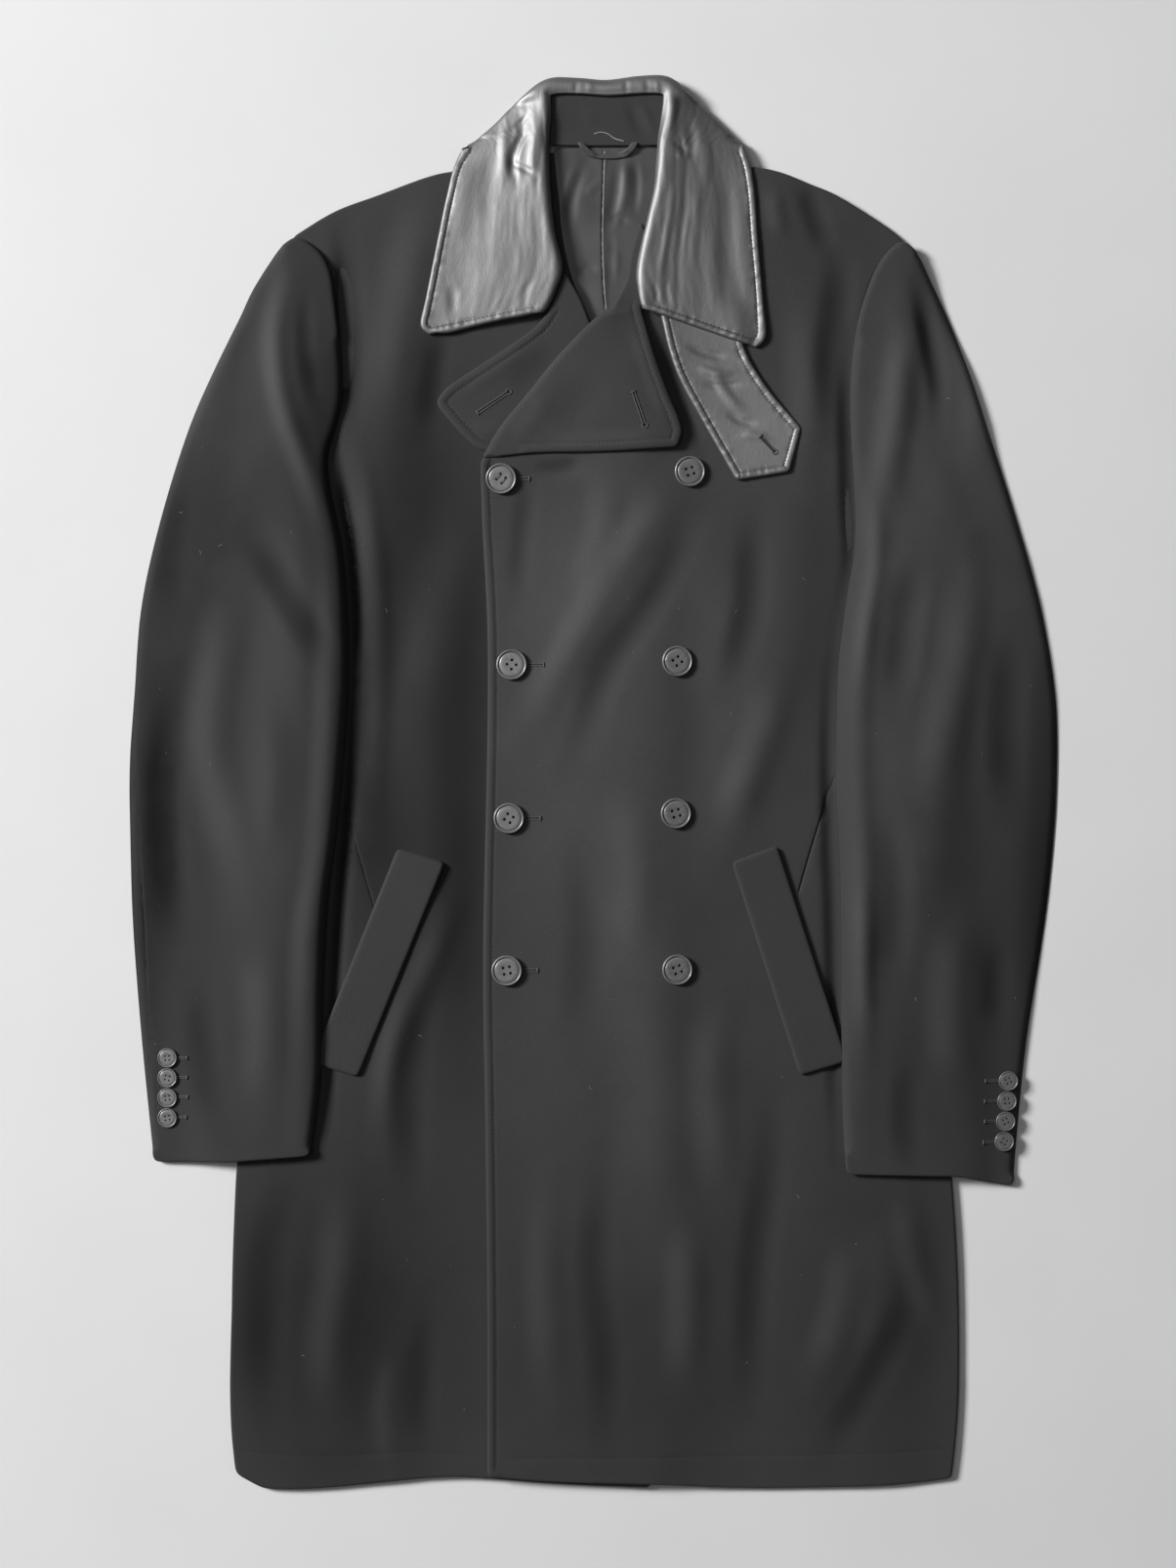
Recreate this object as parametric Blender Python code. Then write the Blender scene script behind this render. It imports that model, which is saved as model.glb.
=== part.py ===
# A man's double-breasted wool car coat with a leather collar and throat latch. It lies on its back,
# buttoned, with its sleeves over its sides. The script works in millimetres and writes metres.
# +Y runs from the hem to the collar, +X to the wearer's left, and the coat lies on Z = 0.

import math
from collections import namedtuple

import bmesh
import bpy
from mathutils import Matrix, Vector
from mathutils.bvhtree import BVHTree

MM = 0.001

# Cloth walls and the gaps between the pieces
BACK_WALL = 1.8
FRONT_WALL = 2.2
LAPEL_WALL = 2.2
SLEEVE_WALL = 2.0
UNDER_SLEEVE_WALL = 1.8
LINING_WALL = 1.0
BAND_WALL = 2.0
COLLAR_WALL = 2.0
LATCH_WALL = 2.4
WELT_WALL = 2.2
LOOP_WALL = 1.0
SEAM_GAP = 0.3
LAY_GAP = 0.4
LOOSE_GAP = 1.0
COLLAR_GAP = 0.7

# How far round each point a sheet looks for what it has to clear, so that its flat faces clear the
# edges below them too
LINING_REACH = 6.0
FRONT_RIGHT_REACH = 14.0
FRONT_LEFT_REACH = 17.0
LAPEL_REACH = 9.0
BAND_REACH = 4.0
LOOP_REACH = 6.0
LATCH_REACH = 9.0
WELT_REACH = 9.0
UNDER_SLEEVE_REACH = 9.5
UNDER_SLEEVE_WELT_REACH = 26.0
SLEEVE_REACH = 18.0
ROLL_REACH = 4.5
LEAF_REACH = 11.0

# Slack: how far the fronts and sleeves stand off what lies below, and how soon they settle at seams
FRONT_RIGHT_SLACK = 1.4
FRONT_LEFT_SLACK = 1.2
SLEEVE_SLACK = 1.3
LINING_SLACK = 0.2
SETTLE = 45.0

# Sleeves: rows and columns, the under sleeve's inset and its drop beside the body
SLEEVE_ROWS = 30
UNDER_SLEEVE_ROWS = 18
SLEEVE_INSET = 1.5
DROP_WIDTH = 9.0
SLEEVE_CELLS = (6, 1, 4)
UNDER_SLEEVE_CELLS = (4, 1, 3)
ROW_CROWDING = 1.25

# Neck: the height of the neck seam, the rise of the wool band over it, and the lift of the back
# where the collar's fall lies under it
NECK_SEAM_Z = 5.4
BAND_RISE = 2.2
BACK_LIFT = 2.5
BACK_CENTRE_X = 6.5
LIFT_HALF_WIDTH = 140.0
LIFT_FADE = 36.0
LIFT_FULL_Y = 434.0
LIFT_END_Y = 419.0

# Collar: the bend of its roll, the height of its outer edge and of its fall behind the neck, and
# the places of its points across the leaf, round the turned edge (in degrees) and down the fall
ROLL_RADIUS = 4.0
EDGE_Z = 7.0
FALL_Z = 1.0
BACK_ROLL_Y = 488.0
TURN_LIMIT = 1.0
LEAF_SHARES = (0.2, 0.4, 0.6, 0.8, 1.0)
TURN_ANGLES = (45, 90, 135, 180)
FALL_SHARES = (0.5, 1.0)

# Buttons: sizes as parts of the radius are in the profile, which runs from the back, over the rim,
# to the dished face
FRONT_BUTTON_RADIUS = 11.0
CUFF_BUTTON_RADIUS = 7.0
FRONT_BUTTON_SIDES = 16
CUFF_BUTTON_SIDES = 12
CUFF_BUTTON_COUNT = 4
BUTTON_PROFILE = ((0.84, 0.0), (1.0, 0.10), (0.97, 0.26), (0.86, 0.29), (0.70, 0.19))
BUTTON_HOLES = 4
HOLE_SIDES = 6
HOLE_REACH = 0.19
HOLE_SIZE = 0.085
SEAT_SPOTS = 12

CURVE_STEPS = 8
SKY = 200.0
DOWN = Vector((0.0, 0.0, -1.0))

Colour = namedtuple("Colour", "red green blue roughness metallic")
COLOURS = {
    "twill": Colour(0.022, 0.022, 0.024, 0.85, 0.0),
    "leather": Colour(0.020, 0.020, 0.023, 0.34, 0.0),
    "satin": Colour(0.030, 0.031, 0.033, 0.45, 0.0),
    "horn": Colour(0.010, 0.010, 0.011, 0.18, 0.0),
}

# Outlines. Each side is a list of runs: a run is a smooth curve through its points, in millimetres,
# and runs meet at corners. Rows are counted from top to bottom, columns from left to right.
Outline = namedtuple("Outline", "top bottom left right rows columns")

RIGHT_ARMHOLE = [
    (-217.5, 392), (-202.5, 385.5), (-192, 373), (-186.5, 348.5),
    (-188.5, 317), (-200, 275), (-218, 229.5), (-242, 180.5),
]
RIGHT_SIDE = [
    (-242, 180.5), (-241, 72), (-235, -33), (-244.5, -152),
    (-256, -271), (-259.5, -362), (-261, -446), (-257, -494),
]
LEFT_ARMHOLE = [
    (225, 388), (211, 378.5), (200, 360.5), (191.5, 331),
    (195, 292.5), (208, 254), (225.5, 215.5), (245.5, 177),
]
LEFT_SIDE = [
    (245.5, 177), (244, 72), (237.5, -33), (244.5, -152),
    (256.5, -271), (262, -362), (262, -446), (257, -496.5),
]

BACK = Outline(
    top=[
        [
            (-217.5, 392), (-157, 421.5), (-112.5, 437), (-82, 441.5),
            (-47, 448.5), (-23, 455.5), (6.5, 457),
        ],
        [(6.5, 457), (33, 455.5), (65, 448.5), (96, 444.5), (127.5, 441), (176, 421.5), (225, 388)],
    ],
    bottom=[[(-257, -494), (-131, -493), (6.5, -496.5), (135, -497.5), (257, -496.5)]],
    left=[RIGHT_ARMHOLE, RIGHT_SIDE],
    right=[LEFT_ARMHOLE, LEFT_SIDE],
    rows=(0.0, 0.012, 0.025, 0.041, 0.07, 0.11, 0.16, 0.22, 0.3, 0.4, 0.52, 0.64, 0.76, 0.88, 1.0),
    columns=12,
)
LINING_BACK = Outline(
    top=[[(-29, 456.5), (6.5, 457), (48, 456.5)]],
    bottom=[[(-3, 326), (10, 323.5), (24, 326)]],
    left=[[(-29, 456.5), (-25.5, 422), (-20, 378.5), (-3, 326)]],
    right=[[(48, 456.5), (44.5, 422), (37.5, 378.5), (24, 326)]],
    rows=9,
    columns=8,
)
FRONT_RIGHT = Outline(
    top=[[(-217.5, 392), (-186.5, 411), (-157, 422), (-112.5, 437.5), (-82, 441.5), (-55.5, 448)]],
    bottom=[[
        (-257, -495.5), (-242, -505.5), (-194, -505.5), (-142, -500.5),
        (-96, -497.5), (-26, -502.5), (41.5, -505.5),
    ]],
    left=[RIGHT_ARMHOLE, RIGHT_SIDE[:-1] + [(-257, -495.5)]],
    right=[
        [(-55.5, 448), (-45, 418.5), (-37, 394), (-24, 363.5), (-5, 331), (20, 282), (41.5, 227.5)],
        [(41.5, 227.5), (41.5, -68), (41.5, -505.5)],
    ],
    rows=30,
    columns=13,
)
LAPEL_RIGHT = Outline(
    top=[[
        (-111.5, 276.5), (-107, 283), (-76, 304), (-47, 323.5),
        (-36, 334), (-27.5, 349.5), (-20.5, 367.5),
    ]],
    bottom=[[(-110, 269), (-95.5, 252), (-78, 238.5), (-33, 228), (28.5, 230.5)]],
    left=[[(-111.5, 276.5), (-112.5, 273), (-110, 269)]],
    right=[[(-20.5, 367.5), (-12, 353.5), (-2.5, 331), (15.5, 285.5), (28.5, 230.5)]],
    rows=7,
    columns=12,
)
FRONT_LEFT = Outline(
    top=[[(57.5, 446.5), (89, 444.5), (127.5, 441), (160, 429), (176, 422), (209.5, 401), (225, 388)]],
    bottom=[[(-76, -496.5), (-26, -500.5), (47, -502.5), (110, -505.5), (205, -504), (257, -499)]],
    left=[
        [(57.5, 446.5), (53, 418.5), (48.5, 387), (42.5, 348)],
        [(42.5, 348), (34, 342.5), (6, 336)],
        [(6, 336), (-28.5, 301.5), (-65.5, 255.5), (-81, 230.5)],
        [
            (-81, 230.5), (-79.5, 184), (-76, 114), (-76, 30),
            (-79, -124), (-77.5, -236), (-76, -376), (-76, -496.5),
        ],
    ],
    right=[LEFT_ARMHOLE, LEFT_SIDE[:-1] + [(257, -499)]],
    rows=34,
    columns=16,
)
LAPEL_LEFT = Outline(
    top=[[(26, 390.5), (41.5, 392)]],
    bottom=[[(-80, 232.5), (-41.5, 236.5), (9, 237.5), (60.5, 241)]],
    left=[
        [(26, 390.5), (26, 378.5), (23.5, 360.5), (14.5, 341.5)],
        [
            (14.5, 341.5), (5, 336.5), (-9, 323.5), (-28.5, 302.5),
            (-47, 279.5), (-67, 255.5), (-80, 232.5),
        ],
    ],
    right=[
        [(41.5, 392), (42.5, 366), (34, 341)],
        [(34, 341), (43, 310), (54, 279.5), (64, 254), (60.5, 241)],
    ],
    rows=13,
    columns=9,
)
NECK_BAND = Outline(
    top=[[
        (-25, 371.5), (-29, 397.5), (-31, 432.5), (-32, 464), (-27.5, 485), (-15.5, 493),
        (9.5, 491.5), (38, 493), (48.5, 488), (53, 474.5), (53, 457),
    ]],
    bottom=[[
        (-16.5, 370.5), (-20.5, 397.5), (-23, 425.5), (-24, 446.5), (-21.5, 455.5), (-12, 458.5),
        (9.5, 458.5), (31, 458.5), (39.5, 455.5), (44.5, 448.5), (45, 439),
    ]],
    left=[[(-25, 371.5), (-16.5, 370.5)]],
    right=[[(53, 457), (45, 439)]],
    rows=3,
    columns=22,
)
HANGER_LOOP = Outline(
    top=[[(-7.5, 460), (0.5, 453), (20.5, 453), (27.5, 460)]],
    bottom=[[(-12, 460), (-2.5, 449.5), (23.5, 449.5), (32.5, 460)]],
    left=[[(-7.5, 460), (-12, 460)]],
    right=[[(27.5, 460), (32.5, 460)]],
    rows=1,
    columns=9,
)
THROAT_LATCH = Outline(
    top=[[(42.5, 364.5), (105.5, 339.5)]],
    bottom=[[(102.5, 217.5), (140.5, 223.5)], [(140.5, 223.5), (149.5, 255.5)]],
    left=[[(42.5, 364.5), (48, 336.5), (59, 296), (81.5, 254), (102.5, 217.5)]],
    right=[[(105.5, 339.5), (108, 313.5), (125.5, 283.5), (149.5, 255.5)]],
    rows=9,
    columns=4,
)
WELT_RIGHT = Outline(
    top=[[(-140.5, -46), (-106, -56.5)]],
    bottom=[[(-202.5, -200), (-168.5, -210.5)]],
    left=[[(-140.5, -46), (-202.5, -200)]],
    right=[[(-106, -56.5), (-168.5, -210.5)]],
    rows=9,
    columns=2,
)
WELT_LEFT = Outline(
    top=[[(99, -56), (132, -44)]],
    bottom=[[(148, -209.5), (182.5, -199)]],
    left=[[(99, -56), (148, -209.5)]],
    right=[[(132, -44), (182.5, -199)]],
    rows=9,
    columns=2,
)

# Sleeves. Each rail runs from the shoulder to the cuff: the outer fold, the edge of the body below
# and the inner fold. Rows cross the sleeve between them.
SleeveRails = namedtuple("SleeveRails", "outer edge inner")
RIGHT_RAILS = SleeveRails(
    outer=[
        (-225, 385), (-243, 359), (-253, 338), (-273.5, 296),
        (-291.5, 254), (-311, 191), (-325, 128), (-330, 65),
        (-333.5, 12.5), (-333, -40), (-331, -103), (-324.5, -187), (-316, -271.5),
    ],
    edge=[
        (-218, 390), (-207, 385.5), (-196.5, 371.5), (-191.5, 348.5),
        (-193.5, 317), (-205, 275), (-223, 229.5), (-246, 180.5),
        (-245.5, 72), (-239, -33), (-249, -152), (-260, -271),
    ],
    inner=[
        (-213, 393.5), (-201, 385.5), (-190, 372.5), (-185, 345),
        (-181, 303), (-181, 268), (-190, 238.5), (-188.5, 212),
        (-180, 170), (-175.5, 114), (-176, 58), (-183, -26),
        (-190, -82), (-194, -152), (-195.5, -208), (-202.5, -266.5),
    ],
)
LEFT_RAILS = SleeveRails(
    outer=[
        (233.5, 380), (253.5, 338), (270, 296), (284, 254),
        (304, 191), (321.5, 128), (332, 65), (333.5, 12.5),
        (331, -40), (324, -103), (311, -187), (304, -257), (301.5, -289),
    ],
    edge=[
        (227, 387), (214.5, 377.5), (204, 359), (196.5, 331),
        (200, 292.5), (213, 254), (230.5, 215.5), (249.5, 177),
        (248, 72), (242, -33), (249, -152), (261, -281.5),
    ],
    inner=[
        (221, 390), (209, 380), (198.5, 360.5), (189.5, 331),
        (185, 296), (184.5, 261), (188, 180.5), (181, 128),
        (175.5, 79), (174.5, 0), (177.5, -77), (178, -208), (181, -280),
    ],
)

# Folds: soft ridges (height over zero) and troughs (under zero) along a line, each with its reach
# to the side of the line, in millimetres
Fold = namedtuple("Fold", "start_x start_y end_x end_y reach height")
FRONT_RIGHT_FOLDS = (
    Fold(-180, 394, -173, 198, 20, -1.3),
    Fold(-120, 425.5, -146.5, 247, 24, 1.6),
    Fold(-116, 317, -109, 184, 24, -0.8),
    Fold(-99, -56.5, -156.5, -208, 20, 1.5),
    Fold(-125.5, -145, -144, -264, 24, -1.4),
    Fold(-96, -194, -117, -348, 28, 0.9),
    Fold(-230.5, -281.5, -228, -439, 30, -1.4),
    Fold(-184, -271, -181.5, -369, 28, 1.1),
)
FRONT_LEFT_FOLDS = (
    Fold(150, 429, 175.5, 345, 18, -1.2),
    Fold(193.5, 338, 182.5, 233, 22, 1.1),
    Fold(42.5, 198, -5, 114, 26, 1.4),
    Fold(-5, 114, -54, 30, 26, 1.2),
    Fold(76, 170, 23, 72, 26, -1.0),
    Fold(129, 79, 93, -40, 26, 1.4),
    Fold(118, 180.5, 113.5, 79, 24, -0.9),
    Fold(65, -152, 65, -418, 40, 1.0),
    Fold(127.5, -229, 115, -446, 32, -1.5),
    Fold(225.5, -369, 170, -474, 28, -1.1),
)
SLEEVE_RIGHT_FOLDS = (
    Fold(-223, 378.5, -229, 317, 15, 2.6),
    Fold(-229, 317, -215, 254, 15, 2.6),
    Fold(-215, 254, -190, 180.5, 18, 2.6),
    Fold(-208, 331, -191.5, 254, 14, -1.2),
    Fold(-240.5, 170, -193, 86, 20, -1.5),
    Fold(-263, 128, -275.5, 30, 26, 1.4),
    Fold(-275.5, 30, -254.5, -68, 26, 1.2),
    Fold(-306, 72, -309, -124, 20, -1.3),
    Fold(-235, -68, -228, -243, 26, 1.0),
)
SLEEVE_LEFT_FOLDS = (
    Fold(232.5, 359, 246.5, 275, 16, 2.0),
    Fold(255, 352, 268, 247, 18, -1.0),
    Fold(217.5, 331, 203.5, 184, 22, 1.6),
    Fold(241, 254, 220, 163, 20, -1.2),
    Fold(252.5, 114, 243, -68, 26, 1.1),
    Fold(305.5, 142, 314, -19, 24, -1.0),
    Fold(191, 72, 193.5, -243, 24, 1.2),
)
LINING_FOLDS = (
    Fold(6.5, 446.5, 6.5, 334.5, 7, 0.9),
    Fold(25.5, 446.5, 23, 411.5, 7, 0.7),
    Fold(-12, 439.5, -8, 401, 9, 0.6),
)

# Collar sections, from the end of the leaf on the wearer's right, round the back of the neck, to the
# end of the leaf on the left. Each runs from the sewn edge over the roll to the outer edge. Where
# the collar turns under, the fold lies between them; elsewhere fold and outer edge are one point.
CollarSection = namedtuple(
    "CollarSection", "roll_x roll_y roll_z strip lean fold_x fold_y outer_x outer_y"
)
COLLAR_SECTIONS = (
    CollarSection(-36, 337.5, 12.0, 0.6, 60, -116.5, 322, -116.5, 322),
    CollarSection(-33, 341.5, 12.5, 0.8, 65, -123, 329, -123, 329),
    CollarSection(-27.5, 353.5, 13.5, 1.5, 70, -119.5, 346.5, -119.5, 346.5),
    CollarSection(-23, 370.5, 14.5, 2.5, 80, -115, 369, -115, 369),
    CollarSection(-29, 395.5, 15.5, 4.0, 85, -110, 394, -110, 394),
    CollarSection(-32, 423.5, 16.0, 5.0, 85, -104.5, 420.5, -104.5, 420.5),
    CollarSection(-33, 450, 15.5, 5.0, 80, -97.5, 446.5, -97.5, 446.5),
    CollarSection(-34, 464, 14.5, 5.0, 70, -85, 460.5, -88, 454.5),
    CollarSection(-33, 476.5, 13.5, 5.0, 60, -71, 473, -77.5, 446),
    CollarSection(-32, 488, 13.0, 4.5, 45, -53.5, 489.5, -57.5, 442.5),
    CollarSection(-25.5, 494, 12.5, 4.0, 30, -31, 504.5, -33, 439.5),
    CollarSection(-12, 495.5, 12.0, 4.0, 20, -12, 505.5, -11, 438),
    CollarSection(10, 494, 12.0, 4.0, 20, 10, 504, 10, 437.5),
    CollarSection(34, 495.5, 12.0, 4.0, 20, 34.5, 507, 33, 438),
    CollarSection(46.5, 495, 12.5, 4.0, 30, 55, 506, 56.5, 439.5),
    CollarSection(51.5, 488, 13.5, 4.5, 45, 73, 489.5, 80, 442.5),
    CollarSection(51, 475.5, 14.5, 5.0, 60, 88.5, 475.5, 94, 446),
    CollarSection(48.5, 462.5, 15.5, 5.0, 70, 100, 464, 104, 454.5),
    CollarSection(47, 448.5, 16.5, 5.0, 80, 109, 452, 109, 452),
    CollarSection(44.5, 425.5, 17.0, 5.0, 85, 114.5, 427.5, 114.5, 427.5),
    CollarSection(37.5, 397, 17.5, 4.0, 85, 117, 394, 117, 394),
    CollarSection(32, 368, 17.0, 2.5, 80, 120, 361, 120, 361),
    CollarSection(33, 352, 16.0, 1.5, 70, 121.5, 335.5, 121.5, 335.5),
    CollarSection(34.5, 343.5, 15.0, 0.8, 65, 121.5, 320.5, 121.5, 320.5),
    CollarSection(35.5, 339.5, 14.5, 0.6, 60, 115, 313, 115, 313),
)

# Button centres
FRONT_BUTTONS = (
    ("button_right_top", "front_left", (-66, 218.5)),
    ("button_right_upper", "front_left", (-58.5, 85.5)),
    ("button_right_lower", "front_left", (-60.5, -24.5)),
    ("button_right_bottom", "front_left", (-62, -133.5)),
    ("button_left_top", "front_left", (69, 224)),
    ("button_left_upper", "front_left", (60, 88)),
    ("button_left_lower", "front_left", (59, -21)),
    ("button_left_bottom", "front_left", (60, -133)),
)
CuffRow = namedtuple("CuffRow", "name sleeve start end")
CUFF_ROWS = (
    CuffRow("cuff_button_right", "sleeve_top_right", (-305.5, -196.5), (-305.5, -239.5)),
    CuffRow("cuff_button_left", "sleeve_top_left", (297.5, -213), (294.5, -256.5)),
)

# The surfaces of the pieces made so far, in millimetres, by name
trees = {}


def clear_scene():
    for scene_object in list(bpy.data.objects):
        bpy.data.objects.remove(scene_object, do_unlink=True)


def make_material(name):
    colour = COLOURS[name]
    material = bpy.data.materials.new(name)
    material.use_nodes = True
    shader = material.node_tree.nodes["Principled BSDF"]
    shader.inputs["Base Color"].default_value = (colour.red, colour.green, colour.blue, 1.0)
    shader.inputs["Roughness"].default_value = colour.roughness
    shader.inputs["Metallic"].default_value = colour.metallic
    return material


def make_mesh(name, points, faces):
    """Return a mesh in metres, its faces turned out, from points in millimetres."""
    mesh = bpy.data.meshes.new(name)
    mesh.from_pydata([point * MM for point in points], [], faces)
    shape = bmesh.new()
    shape.from_mesh(mesh)
    bmesh.ops.recalc_face_normals(shape, faces=shape.faces)
    shape.to_mesh(mesh)
    shape.free()
    return mesh


def add_piece(name, points, faces, material):
    """Add a closed piece to the scene and keep its surface for the pieces that lie on it."""
    mesh = make_mesh(name, points, faces)
    mesh.materials.append(material)
    piece = bpy.data.objects.new(name, mesh)
    bpy.context.scene.collection.objects.link(piece)
    trees[name] = BVHTree.FromPolygons(points, faces)
    return piece


# Curves and patches

def smooth_run(run):
    """Return close points on a smooth curve through the points of a run."""
    knots = [Vector(point) for point in run]
    if len(knots) == 2:
        return knots
    before = knots[0] * 2 - knots[1]
    after = knots[-1] * 2 - knots[-2]
    padded = [before] + knots + [after]
    curve = []
    for index in range(1, len(padded) - 2):
        for step in range(CURVE_STEPS):
            curve.append(spline_point(padded[index - 1:index + 3], step / CURVE_STEPS))
    curve.append(knots[-1])
    return curve


def spline_point(knots, t):
    """Return the point at t, from 0 to 1, between the middle two of four knots."""
    first, second, third, fourth = knots
    value = second * 2
    value = value + (third - first) * t
    value = value + (first * 2 - second * 5 + third * 4 - fourth) * t ** 2
    value = value + (second * 3 - first - third * 3 + fourth) * t ** 3
    return value * 0.5


def curve_length(curve):
    return sum((after - before).length for before, after in zip(curve, curve[1:]))


def spread(curve, places):
    """Return the points of a curve at some places along its length, from 0 at one end to 1."""
    total = curve_length(curve)
    points = []
    index = 0
    passed = 0.0
    for place in places:
        target = place * total
        while index < len(curve) - 2 and passed + (curve[index + 1] - curve[index]).length < target:
            passed += (curve[index + 1] - curve[index]).length
            index += 1
        step = (curve[index + 1] - curve[index]).length
        share = min(1.0, max(0.0, (target - passed) / step))
        points.append(curve[index].lerp(curve[index + 1], share))
    return points


def even(count):
    return [index / count for index in range(count + 1)]


def rail(runs, places):
    """Place points along a side, with one at each corner between two runs."""
    curves = [smooth_run(run) for run in runs]
    total = sum(curve_length(curve) for curve in curves)
    nearest = list(places)
    reached = 0.0
    for curve in curves[:-1]:
        reached += curve_length(curve) / total
        index = min(range(1, len(nearest) - 1), key=lambda i: abs(nearest[i] - reached))
        nearest[index] = reached
    joined = curves[0] + [point for curve in curves[1:] for point in curve[1:]]
    return spread(joined, nearest)


def patch(outline):
    """Fill an outline with a grid of points between its four sides."""
    down = even(outline.rows) if isinstance(outline.rows, int) else list(outline.rows)
    across = even(outline.columns)
    top = rail(outline.top, across)
    bottom = rail(outline.bottom, across)
    left = rail(outline.left, down)
    right = rail(outline.right, down)
    grid = []
    for row, v in enumerate(down):
        line = []
        for column, u in enumerate(across):
            sideways = left[row].lerp(right[row], u)
            downwards = top[column].lerp(bottom[column], v)
            corners = top[0].lerp(top[-1], u).lerp(bottom[0].lerp(bottom[-1], u), v)
            line.append(sideways + downwards - corners)
        grid.append(line)
    return grid


# Heights

def height_below(names, point, reach, gap):
    """Return the height that clears the named pieces at a point and within reach of it."""
    spots = [Vector((0.0, 0.0))]
    for share in (0.5, 1.0):
        for step in range(8):
            angle = step * math.tau / 8
            spots.append(Vector((math.cos(angle), math.sin(angle))) * reach * share)
    height = 0.0
    for spot in spots:
        above = Vector((point.x + spot.x, point.y + spot.y, SKY))
        for name in names:
            hit = trees[name].ray_cast(above, DOWN)[0]
            if hit is not None:
                height = max(height, hit.z + gap)
    return height


def drape(grid, names, reach, gap=LAY_GAP, passes=3):
    """Lay a grid on the pieces below it, with its steps drawn out into slopes."""
    rest = [[height_below(names, point, reach, gap) for point in line] for line in grid]
    heights = [list(line) for line in rest]
    for _ in range(passes):
        heights = [
            [max(rest[row][column], mean_nearby(heights, row, column)) for column in range(len(line))]
            for row, line in enumerate(heights)
        ]
    return heights


def mean_nearby(heights, row, column):
    nearby = []
    for step_row, step_column in ((-1, 0), (1, 0), (0, -1), (0, 1)):
        near_row = min(max(row + step_row, 0), len(heights) - 1)
        near_column = min(max(column + step_column, 0), len(heights[0]) - 1)
        nearby.append(heights[near_row][near_column])
    return sum(nearby) / len(nearby)


def soft_step(value):
    share = min(1.0, max(0.0, value))
    return share * share * (3 - 2 * share)


def fold_height(folds, base, point):
    """Return the height that a sheet's folds add at a point, never under zero."""
    height = base
    for fold in folds:
        start = Vector((fold.start_x, fold.start_y))
        along = Vector((fold.end_x, fold.end_y)) - start
        share = min(1.0, max(0.0, (point - start).dot(along) / along.length_squared))
        distance = (point - start - along * share).length
        if distance < fold.reach:
            height += fold.height * 0.5 * (1 + math.cos(math.pi * distance / fold.reach))
    return max(0.0, height)


def settle(grid, row, column, sides):
    """Return 0 on the named sides of a grid, rising softly to 1 away from them."""
    point = grid[row][column]
    nearest = {
        "top": grid[0][column],
        "bottom": grid[-1][column],
        "left": grid[row][0],
        "right": grid[row][-1],
    }
    share = 1.0
    for side in sides:
        share *= soft_step((point - nearest[side]).length / SETTLE)
    return share


def add_folds(grid, heights, folds, base, sides):
    """Raise a draped grid by its folds, flat along the sides that are sewn down."""
    return [
        [
            heights[row][column] + settle(grid, row, column, sides) * fold_height(folds, base, point)
            for column, point in enumerate(line)
        ]
        for row, line in enumerate(grid)
    ]


# Solids

def grid_faces(rows, columns):
    """Return two triangles for each cell of a grid of points."""
    faces = []
    for row in range(rows - 1):
        for column in range(columns - 1):
            corner = row * columns + column
            faces.append((corner, corner + 1, corner + columns + 1))
            faces.append((corner, corner + columns + 1, corner + columns))
    return faces


def border_edges(faces):
    """Return the edges that only one face uses, each in that face's direction."""
    edges = set()
    for face in faces:
        for start, end in zip(face, face[1:] + face[:1]):
            if (end, start) in edges:
                edges.remove((end, start))
            else:
                edges.add((start, end))
    return sorted(edges)


def close_sheet(name, lower, upper, faces, material):
    """Make a closed sheet from the same faces over two lists of points, lower and upper."""
    count = len(lower)
    shell = [tuple(reversed(face)) for face in faces]
    shell += [tuple(index + count for index in face) for face in faces]
    for start, end in border_edges(faces):
        shell.append((start, end, end + count))
        shell.append((start, end + count, start + count))
    return add_piece(name, lower + upper, shell, material)


def lay_sheet(name, grid, heights, wall, material):
    """Make a sheet of even wall whose underside has the given heights."""
    lower = []
    for line, levels in zip(grid, heights):
        lower += [Vector((point.x, point.y, level)) for point, level in zip(line, levels)]
    upper = [point + Vector((0.0, 0.0, wall)) for point in lower]
    return close_sheet(name, lower, upper, grid_faces(len(grid), len(grid[0])), material)


# Body

def back_lift(point):
    """Return how far the back is raised by the collar's fall, which lies under it at the neck."""
    beside = (abs(point.x - BACK_CENTRE_X) - LIFT_HALF_WIDTH) / LIFT_FADE
    down = (LIFT_FULL_Y - point.y) / (LIFT_FULL_Y - LIFT_END_Y)
    return BACK_LIFT * (1 - soft_step(beside)) * (1 - min(1.0, max(0.0, down)))


def make_back(materials):
    grid = patch(BACK)
    heights = [[back_lift(point) for point in line] for line in grid]
    lay_sheet("back", grid, heights, BACK_WALL, materials["twill"])


def make_lining(materials):
    grid = patch(LINING_BACK)
    heights = drape(grid, ["back"], LINING_REACH)
    heights = add_folds(grid, heights, LINING_FOLDS, LINING_SLACK, ())
    lay_sheet("lining_back", grid, heights, LINING_WALL, materials["satin"])


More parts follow.
